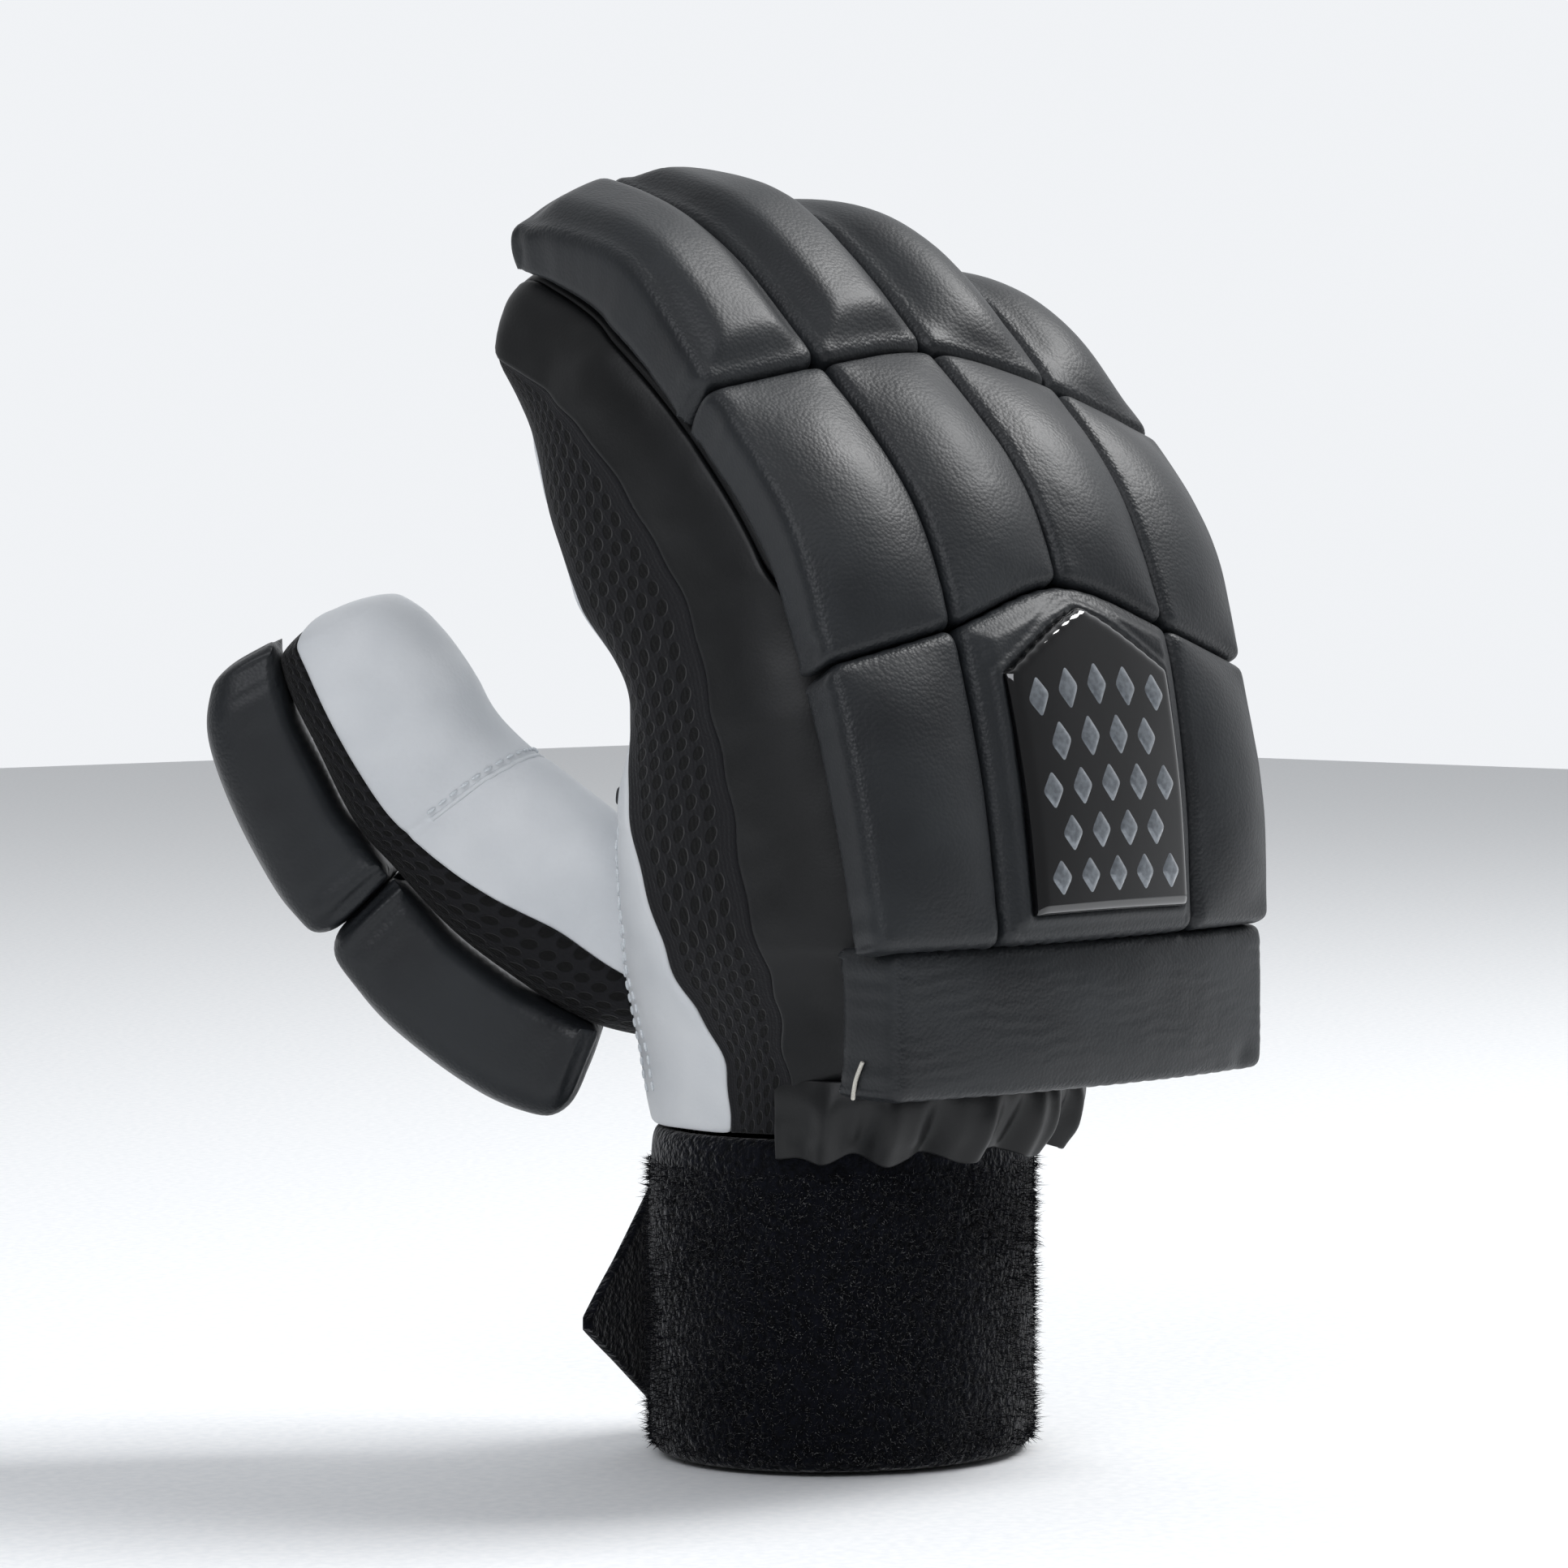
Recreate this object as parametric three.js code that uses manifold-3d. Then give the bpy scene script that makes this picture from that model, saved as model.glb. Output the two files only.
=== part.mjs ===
// Cricket batting glove for the right hand, in millimetres.
// +Z runs from the cuff to the finger tips, -Y is the padded back of the hand, -X is the thumb side.
import * as THREE from "three";
import { mergeVertices } from "three/addons/utils/BufferGeometryUtils.js";
import Module from "manifold-3d";

// Driving sizes of the whole glove
const gloveHeight = 281;
const gloveWidth = 122;
const padReach = 78;
const fingerCount = 4;

// Towelling cuff, an oval tube
const cuffHeight = 71;
const cuffHalfWidth = 43.2;
const cuffHalfDepth = 39.3;
const cuffWall = 4.5;
const cuffEdgeRound = 3;
const cuffSides = 28;

// Leather walls and the clearances between pieces
const leatherWall = 1.8;
const seamGap = 0.6;
const seatGap = 0.3;
const padGap = 0.7;

// Pads
const padDepth = 14;
const padBevelWidth = 3;
const padBevelDepth = 5;
const wristRollBottom = 0.295 * gloveHeight;
const wristRollTop = 0.402 * gloveHeight;
const wristRollDepth = 17;
const wristRollCrown = 1.5;
const badgeThickness = 2.6;
const badgePocketDepth = 1.4;
const badgeBevelDepth = 1.2;
const panelLift = 2;
const panelPlateau = 4;

// Thumb stall
const thumbHalfWidth = 17;
const thumbPlaneAngle = (135 * Math.PI) / 180;
const thumbPadShare = 0.35;
const thumbDrop = 4;
const thumbGroove = 4.05;
const thumbPadEnd = 7;
const thumbBevelShare = 1.6;
const thumbCrown = 1;

// Cuff strap
const strapThickness = 2.4;
const strapWidth = 50;
const strapBottom = 7;
const strapFreeLength = 37;
const strapPointLength = 28;
const strapTipShare = 0.42;
const strapTipHalf = 1;
const strapStart = (35 * Math.PI) / 180;
const strapLeave = (105 * Math.PI) / 180;

// Wrist skirt
const skirtWall = 1.8;
const skirtFolds = 7;
const skirtFoldDepth = 1.6;
const skirtStart = (-152 * Math.PI) / 180;
const skirtEnd = (-22 * Math.PI) / 180;

// Outlines of the finger and thumb stalls: how square they are, and how far they narrow at the tip
const fingerSquare = 3.6;
const fingerTipShare = 0.82;
const thumbSquare = 3;
const beyondThumb = 1.6;
const webStep = 1.2;

// Seams that part the shell: shares of the half width where the side pieces start and overlap the
// others, how far the cutting regions pass the hand, and the share where back and palm meet
const sideShare = 0.84;
const edgeShare = 0.015;
const beyond = 1.3;
const fingerSeam = 0.5;

// How finely the curves are stepped
const palmRingCount = 22;
const fingerRingCount = 12;
const thumbRingCount = 12;
const fingerPlaces = [1.1, 1.55, 2, 2.4, 2.75, 2.97];
const thumbPlaces = [0.02, 1, 2.2, 3.4, 4.6, 5.8, 7, 7.9];
const regionPlaces = [-0.5, 0, 0.5];
const regionRows = [-1.1, -0.6, -0.25, 0, 0.4, 0.8, 1.2, 1.6, 2, 2.4, 2.75, 3, 3.25];
const thumbRegionStep = 0.55;
const padAcrossSteps = 2;
const padAlongSteps = 3;
const bevelFirstStep = 0.35;
const strapCurveSteps = 7;

const wasm = await Module();
wasm.setup();

// Length of one row of pads along the fingers, the width of one finger, and other derived sizes
const rowLength = 0.25 * gloveHeight;
const fingerPitch = gloveWidth / fingerCount;
const rowGap = padGap / rowLength;
const cuffInset = gloveHeight / 10;
const thumbRowLength = gloveHeight / 8;
const thumbDepth = gloveHeight / 5;
const rollEnd = 0.87 * padReach;
const rollBow = 0.08 * padReach;
const rollPlace = { x0: -0.45 * gloveWidth, x1: 0.5 * gloveWidth };
const badgePlace = { x0: -0.77 * fingerPitch, x1: 0.77 * fingerPitch, at0: 0.08, at1: 0.9 };

// Face of the pads. A row for each cross seam and each half row between, a value for each of the five
// finger grooves from the thumb side to the little-finger side: y in hundredths of padReach and z in
// hundredths of gloveHeight. The depth column is the pad thickness as a share of padDepth.
const faceRows = [
  { at: 0, y: [-91, -99, -100, -97, -90], z: [40.6, 40.7, 40.7, 40.7, 40.7], depth: 0.75 },
  { at: 0.5, y: [-82.5, -92.5, -95, -94, -88], z: [51.6, 52.3, 53.3, 52.6, 50.9], depth: 0.95 },
  { at: 1, y: [-71, -81, -83, -86, -80], z: [61.2, 64, 66.9, 63.7, 60.5], depth: 0.95 },
  { at: 1.5, y: [-56, -64.5, -67, -70, -70], z: [71.7, 74, 75.8, 73.7, 69.8], depth: 1.1 },
  { at: 2, y: [-26.5, -31.5, -34, -44, -47], z: [81.5, 83.6, 84.7, 81.9, 78.1], depth: 1 },
  { at: 2.5, y: [6, 9.5, 7, -10.5, -16.5], z: [91.1, 93.5, 94.5, 90, 84.6], depth: 1.25 },
  { at: 3, y: [52, 54, 50, 32, 22], z: [94.5, 98.2, 97.4, 92.6, 87.6], depth: 0.8 },
];

// Palm side of the hand: y in hundredths of padReach, z in hundredths of gloveHeight, and how far the
// outer fingers follow their own pads (0 keeps one flat palm, 1 keeps one finger thickness).
const palmRows = [
  { at: 0, y: 38.5, z: 40.6, follow: 0 },
  { at: 0.5, y: 31.5, z: 50, follow: 0.1 },
  { at: 1, y: 20.5, z: 58.7, follow: 0.3 },
  { at: 1.5, y: 30, z: 68, follow: 0.6 },
  { at: 2, y: 40, z: 74.2, follow: 0.8 },
  { at: 2.5, y: 50.5, z: 80.3, follow: 0.9 },
  { at: 3, y: 61, z: 86, follow: 1 },
];

// Hand below the knuckle pads, from the cuff up: y in hundredths of padReach, z in hundredths of
// gloveHeight, half width in hundredths of half the glove's width, and how square the outline is.
const wristRows = [
  { at: -0.6, backY: -65, backZ: 32, palmY: 48, palmZ: 31.3, width: 80, square: 2.3 },
  { at: -0.25, backY: -77, backZ: 37, palmY: 43, palmZ: 36.3, width: 91, square: 2.7 },
];

// Outline of the hand above the wrist
const handRows = [
  { at: 0, width: 96, square: 3 },
  { at: 0.4, width: 98.5, square: 3.4 },
  { at: 0.8, width: 99.5, square: 3.6 },
  { at: 1.1, width: 99.5, square: 3.8 },
  { at: 1.38, width: 99.5, square: 4 },
];

// Seams on both sides of the hand, as shares of the way from the back to the palm
const sideRows = [
  { at: -1, strip: 0.25, mesh: 0.4 },
  { at: -0.5, strip: 0.28, mesh: 0.48 },
  { at: 0, strip: 0.33, mesh: 0.65 },
  { at: 0.5, strip: 0.36, mesh: 0.76 },
  { at: 1, strip: 0.4, mesh: 0.88 },
  { at: 1.5, strip: 0.41, mesh: 0.94 },
  { at: 2, strip: 0.47, mesh: 0.94 },
  { at: 2.5, strip: 0.58, mesh: 0.94 },
  { at: 3, strip: 0.86, mesh: 0.94 },
];

// Thumb from its tip to its root, seen square to its own plane: out is the distance from the middle
// of the wrist and z the height, both in hundredths of gloveHeight. The leather column is where the
// knitted gusset ends, as a share of the way from the pads to the inner side.
const thumbRows = [
  { at: 0, backOut: 48, backZ: 61.3, innerOut: 35.6, innerZ: 68, width: 0.8, leather: 0.47 },
  { at: 1, backOut: 48.4, backZ: 57, innerOut: 32.2, innerZ: 66, width: 0.95, leather: 0.47 },
  { at: 2, backOut: 46.4, backZ: 51, innerOut: 28.9, innerZ: 62.2, width: 1, leather: 0.46 },
  { at: 3, backOut: 43.1, backZ: 44.6, innerOut: 26.6, innerZ: 58.2, width: 1, leather: 0.48 },
  { at: 4, backOut: 40, backZ: 40.8, innerOut: 24.2, innerZ: 55.8, width: 1, leather: 0.49 },
  { at: 5, backOut: 34.8, backZ: 34.8, innerOut: 20.8, innerZ: 53.2, width: 1.05, leather: 0.53 },
  { at: 6, backOut: 27.5, backZ: 29.4, innerOut: 17.4, innerZ: 50.5, width: 1.1, leather: 0.58 },
  { at: 7, backOut: 21.1, backZ: 27.1, innerOut: 13.5, innerZ: 46.6, width: 1.1, leather: 0.58 },
  { at: 8, backOut: 13.5, backZ: 27, innerOut: 8.5, innerZ: 43, width: 1.1, leather: 0.58 },
];

// A smooth value between the rows of a table, by cubic pieces through the rows
function readTable(rows, value, at) {
  let i = 0;
  while (i < rows.length - 2 && at > rows[i + 1].at) {
    i += 1;
  }
  const slope = (k) => {
    const before = rows[Math.max(k - 1, 0)];
    const after = rows[Math.min(k + 1, rows.length - 1)];
    return (value(after) - value(before)) / (after.at - before.at);
  };
  const span = rows[i + 1].at - rows[i].at;
  const t = (at - rows[i].at) / span;
  const rise = value(rows[i + 1]) - value(rows[i]);
  const start = slope(i) * span;
  const end = slope(i + 1) * span;
  return value(rows[i]) + t * (start + t * (3 * rise - 2 * start - end + t * (start + end - 2 * rise)));
}

// Face of the pads at a distance x across the hand and a place along the rows
function facePoint(x, at) {
  const across = (x / gloveWidth + 0.5) * fingerCount;
  const lines = [...faceRows[0].y.keys()].map((k) => ({
    at: k,
    y: readTable(faceRows, (row) => row.y[k], at),
    z: readTable(faceRows, (row) => row.z[k], at),
  }));
  const y = (readTable(lines, (line) => line.y, across) * padReach) / 100;
  const z = (readTable(lines, (line) => line.z, across) * gloveHeight) / 100;
  return new THREE.Vector3(x, y, z);
}

// Outward direction of the pad face
function faceNormal(x, at) {
  const step = 0.02;
  const along = facePoint(x, at + step).sub(facePoint(x, at - step));
  const across = facePoint(x + 1, at).sub(facePoint(x - 1, at));
  return across.cross(along).normalize();
}

// A place above (or, with a negative height, below) the pad face
function overFace(x, at, height) {
  return facePoint(x, at).addScaledVector(faceNormal(x, at), height);
}

function padDepthAt(at) {
  return padDepth * readTable(faceRows, (row) => row.depth, at);
}

// Back of the hand under the pads
function backPoint(x, at) {
  return overFace(x, at, -padDepthAt(at) - seatGap);
}

// Palm side of the hand
function palmPoint(x, at) {
  const follow = readTable(palmRows, (row) => row.follow, at);
  const shift = facePoint(x, at).sub(facePoint(0, at)).multiplyScalar(follow);
  const y = (readTable(palmRows, (row) => row.y, at) * padReach) / 100;
  const z = (readTable(palmRows, (row) => row.z, at) * gloveHeight) / 100;
  return new THREE.Vector3(x, y + shift.y, z + shift.z);
}

// Two ends of the line through the hand at x, from its back to its palm
function handLine(x, at) {
  if (at >= 0) {
    return [backPoint(x, at), palmPoint(x, at)];
  }
  const middle = handLine(0, 0);
  const rows = [
    { at: -1, back: [-cuffHalfDepth, cuffHeight + seatGap], palm: [cuffHalfDepth, cuffHeight + seatGap] },
    ...wristRows.map((row) => ({
      at: row.at,
      back: [(row.backY * padReach) / 100, (row.backZ * gloveHeight) / 100],
      palm: [(row.palmY * padReach) / 100, (row.palmZ * gloveHeight) / 100],
    })),
    { at: 0, back: [middle[0].y, middle[0].z], palm: [middle[1].y, middle[1].z] },
  ];
  const read = (side) => new THREE.Vector3(
    x,
    readTable(rows, (row) => row[side][0], at),
    readTable(rows, (row) => row[side][1], at),
  );
  return [read("back"), read("palm")];
}

// Half width and squareness of the hand's outline
const outlineRows = [
  { at: -1, width: (cuffHalfWidth / gloveWidth) * 200, square: 2 },
  ...wristRows,
  ...handRows,
];

function handHalfWidth(at) {
  return (readTable(outlineRows, (row) => row.width, at) * gloveWidth) / 200;
}

// One oval ring around a line through the hand. A positive grow makes it larger all round.
function ovalRing({ line, middle, halfWidth, square, at, grow, count }) {
  const ring = [];
  for (let i = 0; i < count; i += 1) {
    const angle = (2 * Math.PI * (i + 0.5)) / count;
    const across = Math.sign(Math.cos(angle)) * Math.abs(Math.cos(angle)) ** (2 / square);
    const through = Math.sign(Math.sin(angle)) * Math.abs(Math.sin(angle)) ** (2 / square);
    const [back, palm] = line(middle + across * halfWidth, at);
    const length = back.distanceTo(palm);
    const share = 0.5 + (through / 2) * (1 + (2 * grow) / length);
    const point = back.lerp(palm, share);
    const side = line(middle + halfWidth, at)[0].sub(line(middle - halfWidth, at)[0]).normalize();
    ring.push(point.addScaledVector(side, across * grow));
  }
  return ring;
}

// Closed solid through a row of rings, each end closed by a fan from its middle
function loftRings(rings) {
  const count = rings[0].length;
  const positions = [];
  const indices = [];
  const centre = (ring) => ring.reduce((sum, p) => sum.add(p), new THREE.Vector3()).divideScalar(count);
  rings.forEach((ring) => ring.forEach((p) => positions.push(p.x, p.y, p.z)));
  const first = centre(rings[0]);
  const last = centre(rings.at(-1));
  positions.push(first.x, first.y, first.z, last.x, last.y, last.z);
  const firstIndex = rings.length * count;
  for (let i = 0; i < count; i += 1) {
    const next = (i + 1) % count;
    for (let k = 0; k < rings.length - 1; k += 1) {
      const low = k * count;
      const high = low + count;
      indices.push(low + i, low + next, high + next, low + i, high + next, high + i);
    }
    const top = (rings.length - 1) * count;
    indices.push(firstIndex, next, i, firstIndex + 1, top + i, top + next);
  }
  return orient(geometryFrom(positions, indices));
}

// Closed solid between an upper and a lower grid of points of the same size
function slabBetween(upper, lower) {
  const rows = upper.length;
  const columns = upper[0].length;
  const positions = [];
  const indices = [];
  [...upper, ...lower].forEach((row) => row.forEach((p) => positions.push(p.x, p.y, p.z)));
  const top = (r, c) => r * columns + c;
  const bottom = (r, c) => (rows + r) * columns + c;
  const quad = (a, b, c, d) => indices.push(a, b, c, a, c, d);
  for (let r = 0; r < rows - 1; r += 1) {
    for (let c = 0; c < columns - 1; c += 1) {
      quad(top(r, c), top(r, c + 1), top(r + 1, c + 1), top(r + 1, c));
      quad(bottom(r, c), bottom(r + 1, c), bottom(r + 1, c + 1), bottom(r, c + 1));
    }
    quad(top(r, 0), top(r + 1, 0), bottom(r + 1, 0), bottom(r, 0));
    quad(top(r, columns - 1), bottom(r, columns - 1), bottom(r + 1, columns - 1), top(r + 1, columns - 1));
  }
  for (let c = 0; c < columns - 1; c += 1) {
    quad(top(0, c), bottom(0, c), bottom(0, c + 1), top(0, c + 1));
    quad(top(rows - 1, c), top(rows - 1, c + 1), bottom(rows - 1, c + 1), bottom(rows - 1, c));
  }
  return orient(geometryFrom(positions, indices));
}

function geometryFrom(positions, indices) {
  const geometry = new THREE.BufferGeometry();
  geometry.setAttribute("position", new THREE.Float32BufferAttribute(positions, 3));
  geometry.setIndex(indices);
  return geometry;
}

// Turns a closed surface so that its faces point out
function orient(geometry) {
  const position = geometry.getAttribute("position");
  const index = geometry.getIndex().array;
  const [a, b, c] = [new THREE.Vector3(), new THREE.Vector3(), new THREE.Vector3()];
  let volume = 0;
  for (let i = 0; i < index.length; i += 3) {
    a.fromBufferAttribute(position, index[i]);
    b.fromBufferAttribute(position, index[i + 1]);
    c.fromBufferAttribute(position, index[i + 2]);
    volume += a.dot(b.cross(c));
  }
  if (volume < 0) {
    for (let i = 0; i < index.length; i += 3) {
      [index[i], index[i + 1]] = [index[i + 1], index[i]];
    }
  }
  return geometry;
}

// Solid for joining and cutting
function toSolid(source) {
  const geometry = source.clone();
  geometry.deleteAttribute("normal");
  geometry.deleteAttribute("uv");
  const merged = mergeVertices(geometry, 1e-4);
  const vertProperties = new Float32Array(merged.getAttribute("position").array);
  const triVerts = new Uint32Array(merged.getIndex().array);
  return new wasm.Manifold(new wasm.Mesh({ numProp: 3, vertProperties, triVerts }));
}

function toGeometry(solid) {
  const { vertProperties, triVerts } = solid.getMesh();
  return geometryFrom(Array.from(vertProperties), Array.from(triVerts));
}

function join(solids) {
  return solids.reduce((sum, solid) => sum.add(solid));
}

// The main body of a cut piece, without the crumbs left where two seams run out
function mainBody(solid) {
  return solid.decompose().reduce((best, body) => (body.volume() > best.volume() ? body : best));
}

// The hollow hand: one wide loft for the palm and one for each finger stall
function handLoft(grow, open) {
  const places = [-1, ...wristRows.map((row) => row.at), ...handRows.map((row) => row.at)];
  const web = places.at(-1);
  const rings = places.map((at) => ovalRing({
    line: handLine,
    middle: 0,
    halfWidth: handHalfWidth(at),
    square: readTable(outlineRows, (row) => row.square, at),
    at: at === web ? at + grow / rowLength : at,
    grow: at === web ? grow - webStep : grow,
    count: palmRingCount,
  }));
  if (open) {
    rings.unshift(rings[0].map((p) => p.clone().add(new THREE.Vector3(0, 0, -2 * leatherWall))));
  }
  return toSolid(loftRings(rings));
}

function fingerLoft(finger, grow) {
  const middle = (finger - (fingerCount - 1) / 2) * fingerPitch;
  const rings = fingerPlaces.map((at, k) => {
    const end = k === fingerPlaces.length - 1;
    const shrink = end ? fingerTipShare : 1;
    return ovalRing({
      line: handLine,
      middle,
      halfWidth: (fingerPitch / 2 - seamGap) * shrink,
      square: fingerSquare,
      at: end ? at + grow / rowLength : at,
      grow: grow - (1 - shrink) * leatherWall,
      count: fingerRingCount,
    });
  });
  return toSolid(loftRings(rings));
}

const fingers = [...Array(fingerCount).keys()];

function handSolid(grow, open) {
  return join([handLoft(grow, open), ...fingers.map((finger) => fingerLoft(finger, grow))]);
}

// Thumb: a place across its width, a share from the pads to the inner side, and a place along it
function thumbPoint(across, share, at) {
  const read = (value) => (readTable(thumbRows, value, at) * gloveHeight) / 100;
  const backOut = read((row) => row.backOut);
  const backZ = read((row) => row.backZ);
  const innerOut = read((row) => row.innerOut);
  const innerZ = read((row) => row.innerZ);
  const out = backOut + (innerOut - backOut) * share;
  const height = backZ + (innerZ - backZ) * share;
  const outward = new THREE.Vector3(Math.cos(thumbPlaneAngle), Math.sin(thumbPlaneAngle), 0);
  const sideways = new THREE.Vector3(Math.sin(thumbPlaneAngle), -Math.cos(thumbPlaneAngle), 0);
  return new THREE.Vector3(0, 0, height - thumbDrop).addScaledVector(outward, out).addScaledVector(sideways, across);
}

function thumbHalfWidthAt(at) {
  return thumbHalfWidth * readTable(thumbRows, (row) => row.width, at);
}

function thumbLoft(grow, extra) {
  const line = (across, at) => [thumbPoint(across, thumbPadShare, at), thumbPoint(across, 1, at)];
  const rings = thumbPlaces.map((at, k) => ovalRing({
    line,
    middle: 0,
    halfWidth: thumbHalfWidthAt(at) - (k === 0 ? leatherWall : 0),
    square: thumbSquare,
    at: k === 0 ? at - grow / thumbRowLength : at + (k === thumbPlaces.length - 1 ? extra : 0),
    grow,
    count: thumbRingCount,
  }));
  return toSolid(loftRings(rings));
}

// Region of the hand between two shares of the way from back to palm, as wide as it is told
function handRegion({ from, to, low, high }) {
  const rings = [];
  for (const at of regionRows) {
    const place = Math.max(at, -1);
    const drop = new THREE.Vector3(0, 0, (at - place) * cuffInset);
    const halfWidth = at < 1 ? handHalfWidth(place) : gloveWidth / 2;
    const corner = (across, share) => {
      const [back, palm] = handLine(Math.max(-1, Math.min(1, across)) * halfWidth, place);
      const point = back.lerp(palm, share(place, back.distanceTo(palm)));
      point.x += Math.sign(across) * Math.max(0, Math.abs(across) - 1) * halfWidth;
      return point.add(drop);
    };
    const between = regionPlaces.filter((across) => across > from && across < to);
    const places = [from, ...between, to];
    const lowEdge = places.map((across) => corner(across, low));
    const highEdge = places.map((across) => corner(across, high)).reverse();
    rings.push([...lowEdge, ...highEdge]);
  }
  return toSolid(loftRings(rings));
}

const stripSeam = (at) => readTable(sideRows, (row) => row.strip, Math.min(at, 3));
const meshSeam = (at) => readTable(sideRows, (row) => row.mesh, Math.min(at, 3));

// Cricket glove leather, knit and plate finishes
const padLeather = { color: 0x34383c, roughness: 0.5, metalness: 0 };
const stripLeather = { color: 0x131417, roughness: 0.45, metalness: 0 };
const whiteLeather = { color: 0xc9cfd4, roughness: 0.65, metalness: 0 };
const blackKnit = { color: 0x0a0a0c, roughness: 0.9, metalness: 0 };
const towelling = { color: 0x0c0d12, roughness: 1, metalness: 0 };
const glossPlate = { color: 0x08080a, roughness: 0.12, metalness: 0 };

const glove = new THREE.Group();

function addPiece(name, geometry, finish) {
  const mesh = new THREE.Mesh(geometry, new THREE.MeshStandardMaterial(finish));
  mesh.name = name;
  glove.add(mesh);
}

// The two sides, the back and the palm share one shell, parted along its seams
const handOuter = handSolid(0, false);
const handInner = handSolid(-leatherWall, true);
const handGrown = handSolid(seatGap, true);
const thumbOuter = thumbLoft(0, 0);
const thumbInner = thumbLoft(-leatherWall, 0.15);
const thumbGrown = thumbLoft(seatGap, 0.05);
const shell = handOuter.subtract(handInner);
const gapShare = (length) => seamGap / 2 / length;

function sideRegion(side, low, high) {
  const [from, to] = side < 0 ? [-beyond, -sideShare] : [sideShare, beyond];
  return handRegion({ from, to, low, high });
}

const sides = [{ name: "index", side: -1 }, { name: "little", side: 1 }];
sides.forEach(({ name, side }) => {
  const strip = sideRegion(side, () => -0.3, (at, length) => stripSeam(at) - gapShare(length));
  const mesh = sideRegion(
    side,
    (at, length) => stripSeam(at) + gapShare(length),
    (at, length) => meshSeam(at) - gapShare(length),
  );
  addPiece(`${name}_side_strip`, toGeometry(shell.intersect(strip)), stripLeather);
  addPiece(`${name}_side_mesh`, toGeometry(shell.intersect(mesh)), blackKnit);
});

const backRegion = handRegion({
  from: -sideShare + edgeShare,
  to: sideShare - edgeShare,
  low: () => -0.3,
  high: (at, length) => fingerSeam - gapShare(length),
});
addPiece("back_shell", toGeometry(shell.intersect(backRegion)), stripLeather);

const sideParts = sides.map(({ side }) => {
  const [from, to] = side < 0
    ? [-beyond, -sideShare + 2 * edgeShare]
    : [sideShare - 2 * edgeShare, beyond];
  return handRegion({ from, to, low: () => -0.3, high: (at, length) => meshSeam(at) + gapShare(length) });
});
const backPart = handRegion({
  from: -sideShare,
  to: sideShare,
  low: () => -0.3,
  high: (at, length) => fingerSeam + gapShare(length),
});
const palm = shell.subtract(join([...sideParts, backPart])).subtract(thumbGrown);
addPiece("palm_leather", toGeometry(mainBody(palm)), whiteLeather);

// Thumb stall
const thumbShell = thumbOuter.subtract(thumbInner).subtract(handGrown);

function thumbRegion(low, high) {
  const rings = [];
  for (let at = -0.4; at <= 8.4; at += thumbRegionStep) {
    const width = thumbHalfWidth * beyondThumb;
    const corner = (across, share) => thumbPoint(across, share(at), at);
    rings.push([corner(-width, low), corner(width, low), corner(width, high), corner(-width, high)]);
  }
  return toSolid(loftRings(rings));
}

const leatherShare = (at) => readTable(thumbRows, (row) => row.leather, Math.max(0, Math.min(at, 8)));
const thumbSeam = seamGap / thumbDepth;
const gusset = thumbRegion(() => 0, (at) => leatherShare(at) - thumbSeam / 2);
const inner = thumbRegion((at) => leatherShare(at) + thumbSeam / 2, () => 1.2);
addPiece("thumb_mesh", toGeometry(thumbShell.intersect(gusset)), blackKnit);
addPiece("thumb_leather", toGeometry(thumbShell.intersect(inner)), whiteLeather);

// A pad as a grid of places across and along, with bevelled borders and a crown or a flat plateau
function padGeometry({ place, x0, x1, at0, at1, rowLength, bevelWidth, bevelDepth, crown, plateau, depth }) {
  const steps = (low, high, bevel, inside) => {
    const places = [low, low + bevelFirstStep * bevel];
    for (let i = 0; i <= inside; i += 1) {
      places.push(low + bevel + ((high - low - 2 * bevel) * i) / inside);
    }
    places.push(high - bevelFirstStep * bevel, high);
    return places;
  };
  const alongBevel = bevelWidth / rowLength;
  const inset = (distance, bevel) => {
    const share = Math.min(1, Math.max(0, distance / bevel));
    return Math.sqrt(1 - (1 - share) ** 2);
  };
  const lift = (x, at) => {
    const side = Math.min(x - x0, x1 - x);
    const end = Math.min(at - at0, at1 - at) * rowLength;
    const edge = Math.min(inset(side, bevelWidth), inset(end, bevelWidth));
    const reach = Math.max(0, Math.min(side, end) - bevelWidth);
    const flat = Math.min(1, reach / plateau);
    const u = (2 * (x - x0)) / (x1 - x0) - 1;
    const v = (2 * (at - at0)) / (at1 - at0) - 1;
    const dome = (1 - u * u) * (1 - v ** 4);
    return (edge - 1) * bevelDepth + crown * (plateau > 0 ? flat : dome);
  };
  const across = steps(x0, x1, bevelWidth, padAcrossSteps);
  const along = steps(at0, at1, alongBevel, padAlongSteps);
  const upper = along.map((at) => across.map((x) => place(x, at, lift(x, at))));
  const lower = along.map((at) => across.map((x) => place(x, at, -depth(at))));
  return slabBetween(upper, lower);
}

const fingerNames = ["index", "middle", "ring", "little"];
const padStyles = [
  { row: 2, suffix: "tip_pad", crown: [4, 4.5, 5.5, 4.5], plateau: [6, 6, 0, 0] },
  { row: 1, suffix: "mid_pad", crown: [2, 2, 2, 2], plateau: [0, 0, 0, 0] },
  { row: 0, suffix: "knuckle_pad", crown: [2, 2, 2, 2], plateau: [0, 0, 0, 0] },
];

function handPad(x0, x1, at0, at1, crown, plateau) {
  const block = padGeometry({
    place: overFace,
    x0: x0 + padGap / 2,
    x1: x1 - padGap / 2,
    at0: at0 + rowGap / 2,
    at1: at1 - rowGap / 2,
    rowLength,
    bevelWidth: padBevelWidth,
    bevelDepth: padBevelDepth,
    crown,
    plateau,
    depth: padDepthAt,
  });
  return toSolid(block).subtract(handGrown);
}

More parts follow.
